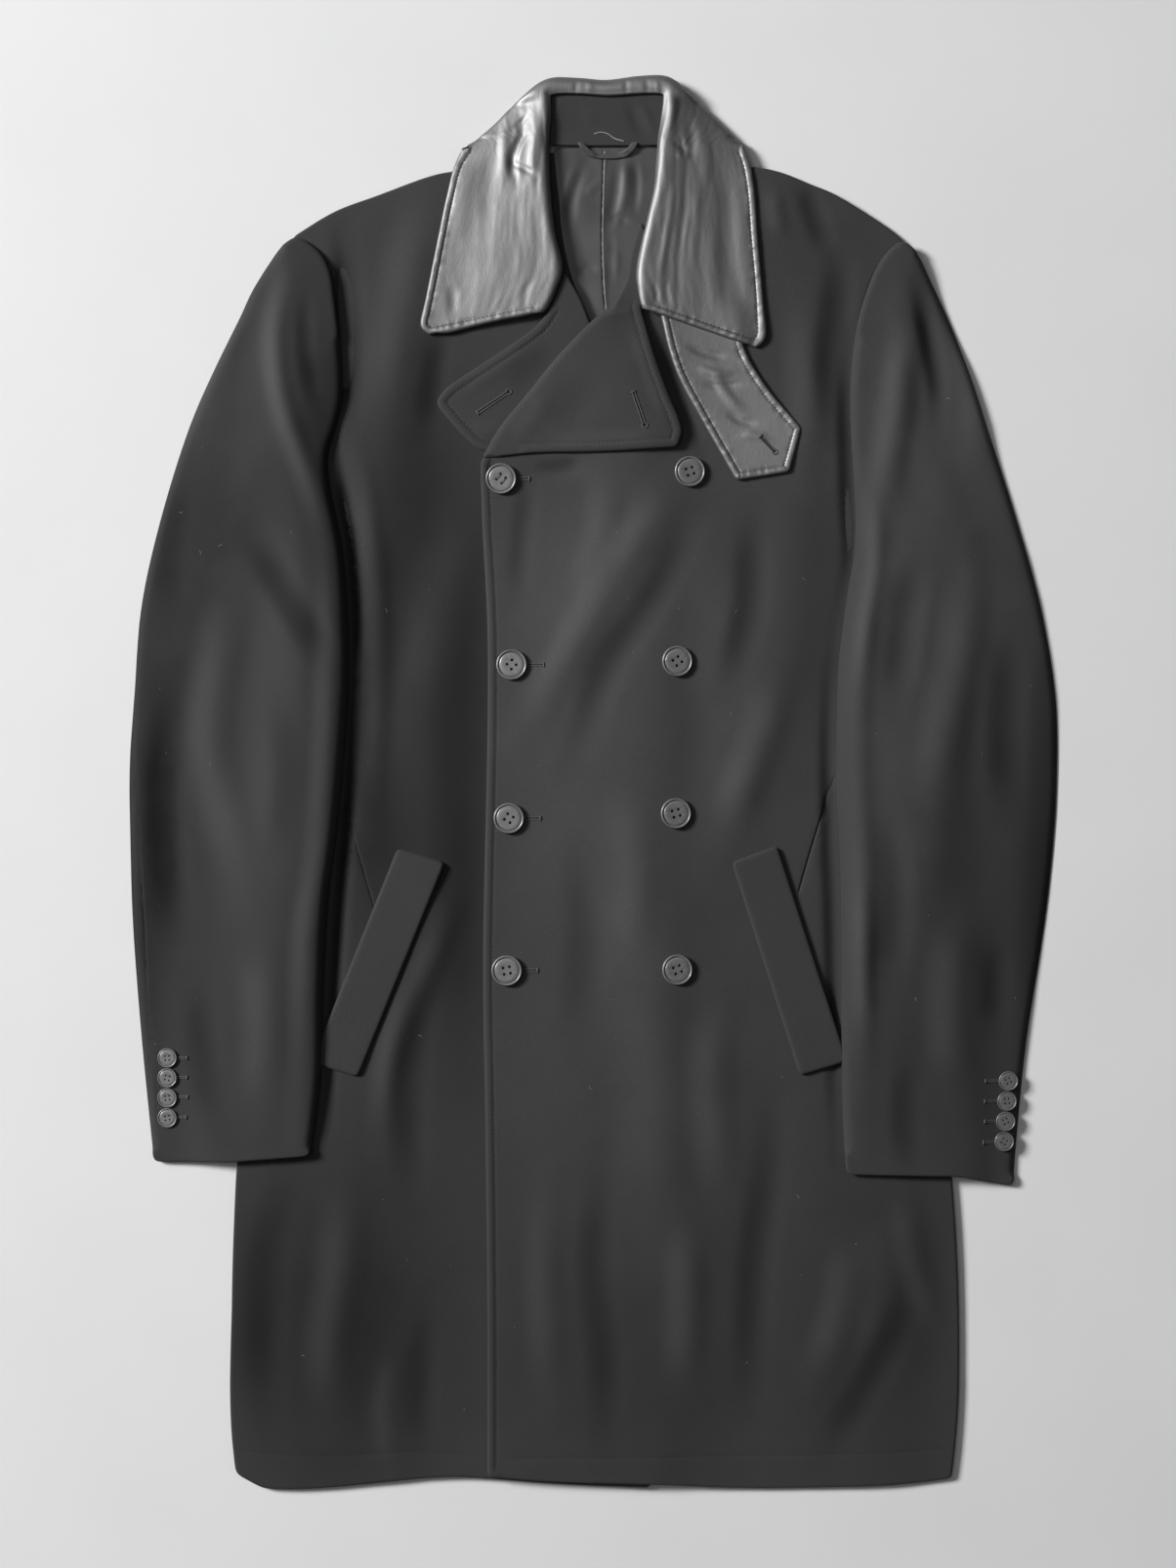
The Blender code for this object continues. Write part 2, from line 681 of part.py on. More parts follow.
def make_fronts(materials):
    grid = patch(FRONT_RIGHT)
    heights = drape(grid, ["back", "lining_back"], FRONT_RIGHT_REACH)
    heights = add_folds(grid, heights, FRONT_RIGHT_FOLDS, FRONT_RIGHT_SLACK, ("left", "top"))
    lay_sheet("front_right", grid, heights, FRONT_WALL, materials["twill"])

    grid = patch(LAPEL_RIGHT)
    heights = drape(grid, ["back", "lining_back", "front_right"], LAPEL_REACH, passes=2)
    lay_sheet("lapel_right", grid, heights, LAPEL_WALL, materials["twill"])

    below = ["back", "lining_back", "front_right", "lapel_right"]
    grid = patch(FRONT_LEFT)
    heights = drape(grid, below, FRONT_LEFT_REACH)
    heights = add_folds(grid, heights, FRONT_LEFT_FOLDS, FRONT_LEFT_SLACK, ("right", "top"))
    lay_sheet("front_left", grid, heights, FRONT_WALL, materials["twill"])

    grid = patch(LAPEL_LEFT)
    heights = drape(grid, below + ["front_left"], LAPEL_REACH, passes=1)
    lay_sheet("lapel_left", grid, heights, LAPEL_WALL, materials["twill"])


def make_neck(materials):
    below = ["back", "lining_back", "front_right", "front_left", "lapel_right", "lapel_left"]
    grid = patch(NECK_BAND)
    heights = drape(grid, below, BAND_REACH, passes=1)
    raised = []
    for row, line in enumerate(grid):
        share = 1 - row / (len(grid) - 1)
        raised.append([max(level, NECK_SEAM_Z + BAND_RISE * share) for level in heights[row]])
    lay_sheet("neck_band", grid, raised, BAND_WALL, materials["twill"])

    grid = patch(HANGER_LOOP)
    heights = drape(grid, below + ["neck_band"], LOOP_REACH, passes=0)
    lay_sheet("hanger_loop", grid, heights, LOOP_WALL, materials["satin"])


def make_latch(materials):
    grid = patch(THROAT_LATCH)
    heights = drape(grid, ["back", "front_left", "lapel_left"], LATCH_REACH, passes=1)
    lay_sheet("throat_latch", grid, heights, LATCH_WALL, materials["leather"])


def make_welts(materials):
    for name, outline, front in (
        ("pocket_welt_right", WELT_RIGHT, "front_right"),
        ("pocket_welt_left", WELT_LEFT, "front_left"),
    ):
        grid = patch(outline)
        heights = drape(grid, [front], WELT_REACH, gap=SEAM_GAP, passes=0)
        lay_sheet(name, grid, heights, WELT_WALL, materials["twill"])


# Sleeves

def sleeve_grid(rails, rows, cells, inset):
    """Return the plan of a sleeve, with columns at the edge of the body below and just outside."""
    places = [share ** ROW_CROWDING for share in even(rows)]
    outer = spread(smooth_run(rails.outer), places)
    edge = spread(smooth_run(rails.edge), places)
    inner = spread(smooth_run(rails.inner), places)
    outer_cells, drop_cells, inner_cells = cells
    grid = []
    for outside, middle, inside in zip(outer, edge, inner):
        outside = outside.lerp(middle, inset / (middle - outside).length)
        inside = inside.lerp(middle, min(0.4, inset / (middle - inside).length))
        drop = middle.lerp(outside, min(0.4, DROP_WIDTH / (middle - outside).length))
        line = [outside.lerp(drop, share) for share in even(outer_cells)]
        line += [drop.lerp(middle, share) for share in even(drop_cells)[1:]]
        line += [middle.lerp(inside, share) for share in even(inner_cells)[1:]]
        grid.append(line)
    return grid


def make_sleeve(side, rails, folds, materials):
    body = ["back", "front_" + side]
    welt = ["pocket_welt_" + side]
    grid = sleeve_grid(rails, UNDER_SLEEVE_ROWS, UNDER_SLEEVE_CELLS, SLEEVE_INSET)
    on_body = drape(grid, body, UNDER_SLEEVE_REACH, passes=0)
    on_welt = drape(grid, welt, UNDER_SLEEVE_WELT_REACH, gap=LOOSE_GAP, passes=0)
    heights = [[max(pair) for pair in zip(*lines)] for lines in zip(on_body, on_welt)]
    under = "sleeve_under_" + side
    lay_sheet(under, grid, heights, UNDER_SLEEVE_WALL, materials["twill"])

    grid = sleeve_grid(rails, SLEEVE_ROWS, SLEEVE_CELLS, 0.0)
    heights = drape(grid, body + [under], SLEEVE_REACH, gap=LOOSE_GAP, passes=2)
    heights = add_folds(grid, heights, folds, SLEEVE_SLACK, ("left", "right"))
    lay_sheet("sleeve_top_" + side, grid, heights, SLEEVE_WALL, materials["twill"])


# Collar

def collar_line(section, names):
    """Return points across one section of the collar's middle, from its sewn to its outer edge.

    Every section has the points up to its folded or outer edge, and a section that turns under has
    those of its fall as well.
    """
    roll = Vector((section.roll_x, section.roll_y))
    fold = Vector((section.fold_x, section.fold_y))
    outer = Vector((section.outer_x, section.outer_y))
    turned = (outer - fold).length > TURN_LIMIT
    away = (fold - roll).normalized()
    centre = roll + away * ROLL_RADIUS
    line = []
    lean = math.radians(90 - section.lean)
    for angle in (lean, (lean + math.pi / 2) / 2, math.pi / 2):
        spot = centre - away * ROLL_RADIUS * math.cos(angle)
        line.append((spot, section.roll_z - ROLL_RADIUS * (1 - math.sin(angle))))
    start, start_z = line[0]
    sewn = start - away * section.strip * math.sin(lean)
    line.insert(0, (sewn, start_z - section.strip * math.cos(lean)))
    line = [clear_point(names, spot, level, ROLL_REACH) for spot, level in line]
    edge_z = section.roll_z if section.roll_y > BACK_ROLL_Y else EDGE_Z
    bend = fold - away * (edge_z - FALL_Z) / 2
    for share in LEAF_SHARES:
        level = section.roll_z + (edge_z - section.roll_z) * share
        line.append(clear_point(names, centre.lerp(bend, share), level, LEAF_REACH))
    if not turned:
        line.append(clear_point(names, bend.lerp(fold, 0.5), edge_z, LEAF_REACH))
        line.append(clear_point(names, fold, edge_z, LEAF_REACH))
        return line
    radius = (line[-1].z - FALL_Z) / 2
    for angle in TURN_ANGLES:
        spot = bend.lerp(fold, math.sin(math.radians(angle)))
        line.append(Vector((*spot, FALL_Z + radius * (1 + math.cos(math.radians(angle))))))
    for share in FALL_SHARES:
        line.append(Vector((*bend.lerp(outer, share), FALL_Z)))
    return line


def clear_point(names, spot, level, reach):
    """Return a point of the collar's middle, raised where it has to clear the pieces below."""
    clear = height_below(names, spot, reach, COLLAR_GAP) + COLLAR_WALL / 2
    return Vector((*spot, max(level, clear)))


def make_collar(materials):
    names = [name for name in trees if not name.startswith("sleeve")]
    lines = [collar_line(section, names) for section in COLLAR_SECTIONS]
    firsts = [sum(len(line) for line in lines[:index]) for index in range(len(lines))]
    faces = []
    for row in range(len(lines) - 1):
        for column in range(min(len(lines[row]), len(lines[row + 1])) - 1):
            corner = firsts[row] + column
            below = firsts[row + 1] + column
            faces.append((corner, below + 1, corner + 1))
            faces.append((corner, below, below + 1))
    middle = [point for line in lines for point in line]
    normals = point_normals(middle, faces)
    lower = [point - normal * COLLAR_WALL / 2 for point, normal in zip(middle, normals)]
    upper = [point + normal * COLLAR_WALL / 2 for point, normal in zip(middle, normals)]
    close_sheet("collar", lower, upper, faces, materials["leather"])


def point_normals(points, faces):
    """Return the mean direction square to the faces round each point."""
    normals = [Vector((0.0, 0.0, 0.0)) for _ in points]
    for face in faces:
        first, second, third = (points[index] for index in face)
        normal = (second - first).cross(third - first).normalized()
        for index in face:
            normals[index] += normal
    return [normal.normalized() for normal in normals]


# Buttons

def button_mesh(name, radius, sides, material):
    """Turn a button with a raised rim and cut four thread holes through it."""
    points = []
    for reach, height in BUTTON_PROFILE:
        for step in range(sides):
            angle = math.tau * step / sides
            points.append(Vector((reach * math.cos(angle), reach * math.sin(angle), height)) * radius)
    faces = []
    for ring in range(len(BUTTON_PROFILE) - 1):
        for step in range(sides):
            start = ring * sides + step
            after = ring * sides + (step + 1) % sides
            faces.append((start, after, after + sides, start + sides))
    faces.append(tuple(range(sides - 1, -1, -1)))
    last = (len(BUTTON_PROFILE) - 1) * sides
    faces.append(tuple(range(last, last + sides)))
    blank = bpy.data.objects.new(name + "_blank", make_mesh(name + "_blank", points, faces))
    bpy.context.scene.collection.objects.link(blank)
    cutter = hole_cutter(name, radius)
    cut = blank.modifiers.new("holes", "BOOLEAN")
    cut.operation = "DIFFERENCE"
    cut.object = cutter
    graph = bpy.context.evaluated_depsgraph_get()
    mesh = bpy.data.meshes.new_from_object(blank.evaluated_get(graph))
    mesh.name = name
    mesh.materials.clear()
    mesh.materials.append(material)
    bpy.data.objects.remove(blank, do_unlink=True)
    bpy.data.objects.remove(cutter, do_unlink=True)
    return mesh


def hole_cutter(name, radius):
    """Return four small pins, square round the middle, as tall as the button and more."""
    shape = bmesh.new()
    for step in range(BUTTON_HOLES):
        angle = math.tau * (step + 0.5) / BUTTON_HOLES
        reach = radius * HOLE_REACH
        spot = Vector((reach * math.cos(angle), reach * math.sin(angle), 0.0)) * MM
        bmesh.ops.create_cone(
            shape,
            cap_ends=True,
            segments=HOLE_SIDES,
            radius1=radius * HOLE_SIZE * MM,
            radius2=radius * HOLE_SIZE * MM,
            depth=radius * MM,
            matrix=Matrix.Translation(spot),
        )
    mesh = bpy.data.meshes.new(name + "_pins")
    shape.to_mesh(mesh)
    shape.free()
    cutter = bpy.data.objects.new(name + "_pins", mesh)
    bpy.context.scene.collection.objects.link(cutter)
    return cutter


def seat_button(name, mesh, radius, cloth, centre):
    """Lay a button on a piece of cloth, tilted as the cloth is below it."""
    ring = []
    for step in range(SEAT_SPOTS):
        angle = math.tau * step / SEAT_SPOTS
        for share in (0.5, 1.0):
            spot = centre + Vector((math.cos(angle), math.sin(angle))) * radius * share
            ring.append(trees[cloth].ray_cast(Vector((*spot, SKY)), DOWN)[0])
    ring.append(trees[cloth].ray_cast(Vector((*centre, SKY)), DOWN)[0])
    east = slope(ring, centre, 0)
    north = slope(ring, centre, 1)
    up = Vector((-east, -north, 1.0)).normalized()
    base = max(hit.z - east * (hit.x - centre.x) - north * (hit.y - centre.y) for hit in ring)
    button = bpy.data.objects.new(name, mesh)
    bpy.context.scene.collection.objects.link(button)
    button.location = Vector((centre.x, centre.y, base + SEAM_GAP)) * MM
    button.rotation_euler = up.to_track_quat("Z", "Y").to_euler()


def slope(ring, centre, axis):
    """Return how steeply a ring of points rises along one axis."""
    middle = sum(hit.z for hit in ring) / len(ring)
    rise = sum((hit.z - middle) * (hit[axis] - centre[axis]) for hit in ring)
    run = sum((hit[axis] - centre[axis]) ** 2 for hit in ring)
    return rise / run


def make_buttons(materials):
    mesh = button_mesh("front_button", FRONT_BUTTON_RADIUS, FRONT_BUTTON_SIDES, materials["horn"])
    for name, cloth, centre in FRONT_BUTTONS:
        seat_button(name, mesh, FRONT_BUTTON_RADIUS, cloth, Vector(centre))
    mesh = button_mesh("cuff_button", CUFF_BUTTON_RADIUS, CUFF_BUTTON_SIDES, materials["horn"])
    for row in CUFF_ROWS:
        for index, share in enumerate(even(CUFF_BUTTON_COUNT - 1)):
            centre = Vector(row.start).lerp(Vector(row.end), share)
            name = row.name + "_" + str(index + 1)
            seat_button(name, mesh, CUFF_BUTTON_RADIUS, row.sleeve, centre)


def main():
    clear_scene()
    materials = {name: make_material(name) for name in COLOURS}
    make_back(materials)
    make_lining(materials)
    make_fronts(materials)
    make_neck(materials)
    make_latch(materials)
    make_welts(materials)
    make_sleeve("right", RIGHT_RAILS, SLEEVE_RIGHT_FOLDS, materials)
    make_sleeve("left", LEFT_RAILS, SLEEVE_LEFT_FOLDS, materials)
    make_collar(materials)
    make_buttons(materials)


main()
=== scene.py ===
# A man's double-breasted wool car coat with a leather collar, laid flat and face up on a pale floor.
# Tables are in millimetres: +Y runs from the hem to the collar, +X to the wearer's left sleeve.
import math
import random

import bmesh
import bpy
import numpy as np
from mathutils import Matrix, Vector, noise
from mathutils.bvhtree import BVHTree
from mathutils.geometry import delaunay_2d_cdt
from mathutils.kdtree import KDTree


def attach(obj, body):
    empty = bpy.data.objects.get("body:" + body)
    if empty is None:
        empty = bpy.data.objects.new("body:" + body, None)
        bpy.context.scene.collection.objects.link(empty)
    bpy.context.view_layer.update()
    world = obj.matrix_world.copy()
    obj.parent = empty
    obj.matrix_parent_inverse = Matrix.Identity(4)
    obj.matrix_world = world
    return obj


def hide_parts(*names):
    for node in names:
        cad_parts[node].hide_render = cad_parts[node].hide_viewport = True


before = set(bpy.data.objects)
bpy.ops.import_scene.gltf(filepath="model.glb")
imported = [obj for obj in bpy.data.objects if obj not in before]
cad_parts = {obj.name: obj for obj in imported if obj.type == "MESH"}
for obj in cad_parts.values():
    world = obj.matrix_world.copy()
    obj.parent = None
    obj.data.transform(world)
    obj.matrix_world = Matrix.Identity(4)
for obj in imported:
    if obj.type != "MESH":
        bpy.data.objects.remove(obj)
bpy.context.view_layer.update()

mm = 0.001
sky = 300.0  # where a ray that looks down on the coat starts
down = Vector((0.0, 0.0, -1.0))
rng = random.Random(11)

materials = {}  # Blender materials, by name
skins = {}  # the finished upper skin of each sheet, for what lies or is sewn on it
borders = {}  # the finished border of each sheet, for the stitches along it


# Curves

def between(a, b, c, d, t):
    # the smooth way from b to c at share t, with a before it and d after it
    return 0.5 * (
        2 * b + (c - a) * t + (2 * a - 5 * b + 4 * c - d) * t ** 2 + (3 * b - a - 3 * c + d) * t ** 3
    )


def smoothCurve(points, step):
    # a smooth curve through a few points, with an even step between its own
    knots = [np.array(point, float) for point in points]
    padded = [2 * knots[0] - knots[1]] + knots + [2 * knots[-1] - knots[-2]]
    close = []
    for a, b, c, d in zip(padded, padded[1:], padded[2:], padded[3:]):
        count = max(4, int(np.linalg.norm(c - b) / step * 2))
        close += [between(a, b, c, d, t) for t in np.linspace(0.0, 1.0, count, endpoint=False)]
    close.append(knots[-1])
    return evenSteps(np.array(close), step)


def lengthAlong(curve):
    steps = np.linalg.norm(np.diff(curve, axis=0), axis=1)
    return np.concatenate([[0.0], np.cumsum(steps)])


def evenSteps(curve, step):
    along = lengthAlong(curve)
    places = np.linspace(0.0, along[-1], max(2, int(round(along[-1] / step)) + 1))
    return np.stack([np.interp(places, along, curve[:, axis]) for axis in range(curve.shape[1])], 1)


def nearestOn(curve, points, closed=False):
    # for each point: its distance to the curve, how far along that is, and its side (left is over 0)
    ends = np.vstack([curve, curve[:1]]) if closed else curve
    along = lengthAlong(ends)
    tree = KDTree(len(curve))
    for index, (x, y) in enumerate(curve):
        tree.insert((x, y, 0.0), index)
    tree.balance()
    close = np.array([tree.find((x, y, 0.0))[1] for x, y in points])
    best = np.full(len(points), 1e9)
    place = np.zeros(len(points))
    side = np.ones(len(points))
    for shift in (-1, 0):
        first = (close + shift) % len(curve) if closed else np.clip(close + shift, 0, len(curve) - 2)
        start, end = ends[first], ends[first + 1]
        run = end - start
        off = points - start
        size = np.maximum((run * run).sum(1), 1e-9)
        share = np.clip((off * run).sum(1) / size, 0.0, 1.0)
        gap = np.linalg.norm(off - run * share[:, None], axis=1)
        better = gap < best
        best = np.where(better, gap, best)
        place = np.where(better, along[first] + share * np.sqrt(size), place)
        turn = run[:, 0] * off[:, 1] - run[:, 1] * off[:, 0]
        side = np.where(better, np.sign(turn), side)
    return best, place, side


def softStep(value):
    share = np.clip(value, 0.0, 1.0)
    return share * share * (3 - 2 * share)


# Height fields: the upper skin of a CAD solid, smoothed, as heights on a grid seen from above

def upperSkin(node):
    # the points of a CAD solid and those of its faces that look up
    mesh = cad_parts[node].data
    points, numbers, place = [], {}, []
    for vertex in mesh.vertices:
        spot = tuple(round(value / mm, 3) for value in vertex.co)
        if spot not in numbers:
            numbers[spot] = len(points)
            points.append(spot)
        place.append(numbers[spot])
    faces = []
    for face in mesh.polygons:
        if face.normal.z > 0.15:
            faces.append([place[index] for index in face.vertices])
    return points, faces


def borderLoop(points, faces):
    # the longest loop of edges that only one face uses
    edges = {}
    for face in faces:
        for start, end in zip(face, face[1:] + face[:1]):
            edges[(start, end)] = True
    after = {start: end for start, end in edges if (end, start) not in edges}
    loops = []
    while after:
        start = next(iter(after))
        loop = [start]
        while loop[-1] in after:
            loop.append(after.pop(loop[-1]))
        loops.append(loop[:-1])
    longest = max(loops, key=len)
    return np.array([points[index][:2] for index in longest])


def blurGrid(grid, size):
    # a soft blur whose reach is size cells, with the edge values carried on outside
    reach = max(1, int(size * 3))
    weights = np.exp(-0.5 * (np.arange(-reach, reach + 1) / size) ** 2)
    weights /= weights.sum()
    for axis in (0, 1):
        padding = [(reach, reach) if step == axis else (0, 0) for step in (0, 1)]
        wide = np.pad(grid, padding, mode="edge")
        count = grid.shape[axis]
        grid = sum(
            weight * np.take(wide, range(start, start + count), axis=axis)
            for start, weight in enumerate(weights)
        )
    return grid


def heightField(node, cell=3.0, blur=7.0, margin=12.0):
    points, faces = upperSkin(node)
    tree = BVHTree.FromPolygons(points, faces)
    corner = np.min(points, axis=0)[:2] - margin
    far = np.max(points, axis=0)[:2] + margin
    columns, rows = (int(math.ceil(size / cell)) + 1 for size in far - corner)
    middle = float(np.mean([point[2] for point in points]))
    grid = np.zeros((columns, rows))
    for column in range(columns):
        for row in range(rows):
            x, y = corner[0] + column * cell, corner[1] + row * cell
            hit = tree.ray_cast((x, y, sky), down)[0]
            grid[column, row] = hit.z if hit else tree.find_nearest((x, y, middle))[0].z
    return {
        "grid": blurGrid(grid, blur / cell), "corner": corner, "cell": cell,
        "border": borderLoop(points, faces), "tree": tree,
    }


def cubicWeights(t):
    # how much each of four neighbours counts at share t between the middle two
    return np.stack([
        -0.5 * t + t ** 2 - 0.5 * t ** 3,
        1 - 2.5 * t ** 2 + 1.5 * t ** 3,
        0.5 * t + 2 * t ** 2 - 1.5 * t ** 3,
        -0.5 * t ** 2 + 0.5 * t ** 3,
    ], 1)


def sampleField(field, points):
    # the height field's smooth height at each point
    grid = field["grid"]
    place = (points - field["corner"]) / field["cell"]
    column = np.clip(np.floor(place[:, 0]).astype(int), 1, grid.shape[0] - 3)
    row = np.clip(np.floor(place[:, 1]).astype(int), 1, grid.shape[1] - 3)
    across = cubicWeights(np.clip(place[:, 0] - column, 0.0, 1.0))
    along = cubicWeights(np.clip(place[:, 1] - row, 0.0, 1.0))
    height = np.zeros(len(points))
    for i in range(4):
        for j in range(4):
            height += across[:, i] * along[:, j] * grid[column + i - 1, row + j - 1]
    return height


# Cloth sheets

def smoothBorder(loop, step, cornerTurn=26.0, rounding=6):
    # a smooth closed border through the CAD's border points, its corners slightly rounded
    turns = []
    for before, here, after in zip(np.roll(loop, 1, 0), loop, np.roll(loop, -1, 0)):
        a, b = here - before, after - here
        turns.append(abs(math.degrees(math.atan2(a[0] * b[1] - a[1] * b[0], float(a @ b)))))
    corners = [index for index, turn in enumerate(turns) if turn > cornerTurn]
    loop = np.roll(loop, -corners[0], 0)
    corners = [corner - corners[0] for corner in corners] + [len(loop)]
    loop = np.vstack([loop, loop[:1]])
    runs = [smoothCurve(loop[start:end + 1], step)[:-1] for start, end in zip(corners, corners[1:])]
    border = np.vstack(runs)
    for _ in range(rounding):
        border = (np.roll(border, 1, 0) + 2 * border + np.roll(border, -1, 0)) / 4
    return border


def inward(border):
    # at each point of a border, the direction straight into the piece
    ahead = np.roll(border, -1, 0) - np.roll(border, 1, 0)
    normal = np.stack([-ahead[:, 1], ahead[:, 0]], 1)
    return normal / np.linalg.norm(normal, axis=1)[:, None]


def lineRows(line, rows):
    # a line and its copies beside it, on both sides
    ahead = np.gradient(line, axis=0)
    normal = np.stack([-ahead[:, 1], ahead[:, 0]], 1)
    normal /= np.linalg.norm(normal, axis=1)[:, None]
    sides = [0.0] + [value for row in rows for value in (row, -row)]
    return [line + normal * side for side in sides]


def fillPlan(border, rows, lines, cell, tree):
    # points across the piece, close together along its border and its lines, as triangles
    chosen = [border]
    for row in rows:
        ring = border + inward(border) * row
        distance = nearestOn(border, ring, closed=True)[0]
        chosen.append(ring[distance > row * 0.9])
    edge = rows[-1] if rows else 0.0
    for line in lines:
        for ring in lineRows(line["curve"], line["rows"]):
            distance, _, side = nearestOn(border, ring, closed=True)
            chosen.append(ring[(distance > edge + 0.4 * cell) & (side > 0)])
    low, high = border.min(0), border.max(0)
    lattice = []
    height = cell * math.sqrt(3) / 2
    for row in range(int((high[1] - low[1]) / height) + 1):
        y = low[1] + row * height
        shift = cell / 2 if row % 2 else 0.0
        for x in np.arange(low[0] + shift, high[0], cell):
            if tree.ray_cast((x, y, sky), down)[0]:
                lattice.append((x, y))
    if lattice:
        lattice = np.array(lattice)
        distance, _, side = nearestOn(border, lattice, closed=True)
        keep = (distance > edge + 0.55 * cell) & (side > 0)
        for line in lines:
            keep &= nearestOn(line["curve"], lattice)[0] > max(line["rows"]) + 0.5 * cell
        chosen.append(lattice[keep])
    points = np.vstack(chosen)
    count = len(border)
    edges = [(index, (index + 1) % count) for index in range(count)]
    found, _, faces, origins, _, _ = delaunay_2d_cdt(
        [Vector(point) for point in points], edges, [], 1, 1e-4
    )
    place = {}
    for index, sources in enumerate(origins):
        for source in sources:
            place[source] = index
    plan = np.array([tuple(point) for point in found])
    return plan, faces, [place[index] for index in range(count)]


def creaseHeight(creases, points):
    # soft ridges (height over 0) and troughs (under 0) along short curved lines, fading at both ends
    height = np.zeros(len(points))
    for crease in creases:
        *line, reach, rise = crease
        curve = smoothCurve(line, 8.0)
        start, run = curve[:-1], np.diff(curve, axis=0)
        size = (run * run).sum(1)
        along = lengthAlong(curve)
        low, high = curve.min(0) - reach, curve.max(0) + reach
        near = np.where(((points > low) & (points < high)).all(1))[0]
        if len(near) == 0:
            continue
        off = points[near, None, :] - start[None]
        share = np.clip((off * run[None]).sum(2) / size, 0.0, 1.0)
        gap = np.linalg.norm(off - run[None] * share[..., None], axis=2)
        best = gap.argmin(1)
        every = np.arange(len(near))
        distance = gap[every, best]
        place = along[best] + share[every, best] * np.sqrt(size)[best]
        total = along[-1]
        fade = softStep(place / (0.35 * total)) * softStep((total - place) / (0.35 * total))
        ridge = 0.5 * (1 + np.cos(np.pi * np.clip(distance / reach, 0.0, 1.0)))
        height[near] += rise * ridge * (0.15 + 0.85 * fade)
    return height


def ripple(points, size, height, seed):
    # slow uneven waves, so that no stretch of cloth lies perfectly even
    return height * np.array([
        noise.noise(Vector((x / size, y / size, seed))) for x, y in points
    ])


def edgeShape(look, border, points):
    # how the cloth's border turns down, swells out to its topstitching and dips along the stitches
    distance, place, _ = nearestOn(border, points, closed=True)
    along = lengthAlong(border)
    reach = np.full(len(points), float(look["round"]))
    drop = np.full(len(points), float(look["drop"]))
    for edge in look.get("edges", []):
        weight = np.interp(place, along, stitchMask(edge["along"], border))
        reach += weight * (edge["round"] - reach)
        drop += weight * (edge["drop"] - drop)
    turn = np.clip(1 - distance / reach, 0.0, 1.0)
    height = -drop * (1 - np.sqrt(1 - turn ** 2))
    stitch = look.get("topstitch")
    if stitch:
        weight = np.interp(place, along, stitchMask(stitch["along"], border))
        height += weight * stitchShape(stitch, distance, place)
    return height


def stitchShape(stitch, distance, place):
    # the cloth's swell between its edge and a row of stitches, and the groove that they pull
    inset = stitch["inset"]
    swell = np.sin(np.pi * np.clip(distance / inset, 0.0, 1.0)) ** 0.7
    groove = np.exp(-((distance - inset) / stitch["groove"]) ** 2)
    pull = 0.6 + 0.4 * np.cos(2 * np.pi * place / stitch["pitch"])
    height = stitch["swell"] * swell - stitch["dip"] * groove * pull
    if stitch.get("pucker"):
        short = [noise.noise(Vector((value / 3.2, 0.5, 3.0))) for value in place]
        long = [noise.noise(Vector((value / 9.0, 4.5, 1.0))) for value in place]
        wave = np.array(short) + 0.6 * np.array(long)
        height += stitch["pucker"] * wave * np.exp(-((distance - inset * 0.75) / (inset * 0.55)) ** 2)
    return height


def stitchMask(guide, border):
    # 1 where a border runs along the guide line, fading to 0 past its ends
    distance = nearestOn(smoothCurve(guide, 5.0), border)[0]
    return 1 - softStep((distance - 6.0) / 6.0)


leastTop = 0.5  # the lowest that the upper skin of a sheet may lie
leastLow = 0.02  # the lowest that its underside may lie
lowCell = 9.0  # how close the points of its underside lie


def sheetHeight(field, look, points):
    # the CAD's upper skin with the look's lift, folds and slow waves on it
    wave = look["wave"]
    height = sampleField(field, points) + look.get("lift", 0.0)
    height += creaseHeight(look.get("creases", []), points)
    return height + ripple(points, 70.0, wave, 1.7) + ripple(points, 24.0, 0.3 * wave, 8.2)


def makeSheet(node, look):
    field = heightField(node, blur=look.get("blur", 7.0))
    outline = np.array(look["outline"], float) if "outline" in look else field["border"]
    border = smoothBorder(outline, look["step"])
    for x, y, moveX, moveY, reach in look.get("pulls", []):
        share = np.exp(-((border - (x, y)) ** 2).sum(1) / reach ** 2)
        border = border + share[:, None] * (moveX, moveY)
    borders[node] = border
    lines = look.get("lines", [])
    for line in lines:
        line["curve"] = smoothCurve(line["points"], 1.6)
    plan, faces, rim = fillPlan(border, look["rows"], lines, look["cell"], field["tree"])
    lowPlan, lowFaces, lowRim = fillPlan(border, [], [], lowCell, field["tree"])
    top = sheetHeight(field, look, plan) + edgeShape(look, border, plan)
    for line in lines:
        top += seamShape(line, plan)
    top = np.maximum(top, leastTop)
    low = np.maximum(sheetHeight(field, look, lowPlan) - look["wall"], leastLow)
    low[lowRim] = np.minimum(low[lowRim], top[rim] - 0.3)
    upper = (np.column_stack([plan, top]), faces, rim)
    closeShell(node, look, upper, (np.column_stack([lowPlan, low]), lowFaces, lowRim))


def seamShape(line, points):
    # the groove of a seam or dart, and the ledge of the cloth that lies under it on one side
    distance, place, side = nearestOn(line["curve"], points)
    total = lengthAlong(line["curve"])[-1]
    ends = softStep(place / 6.0 + 0.1) * softStep((total - place) / 6.0 + 0.1)
    groove = line["depth"] * np.exp(-(distance / line["width"]) ** 2)
    ledge = line.get("ledge", 0.0) * (side > 0) * np.exp(-(distance / (4 * line["width"])) ** 2)
    return ends * (ledge - groove)


paintedShadePerFoldHeight = 0.105  # painted shade: how much lighter the cloth's colour is for each mm that a fold rises, darker as it sinks
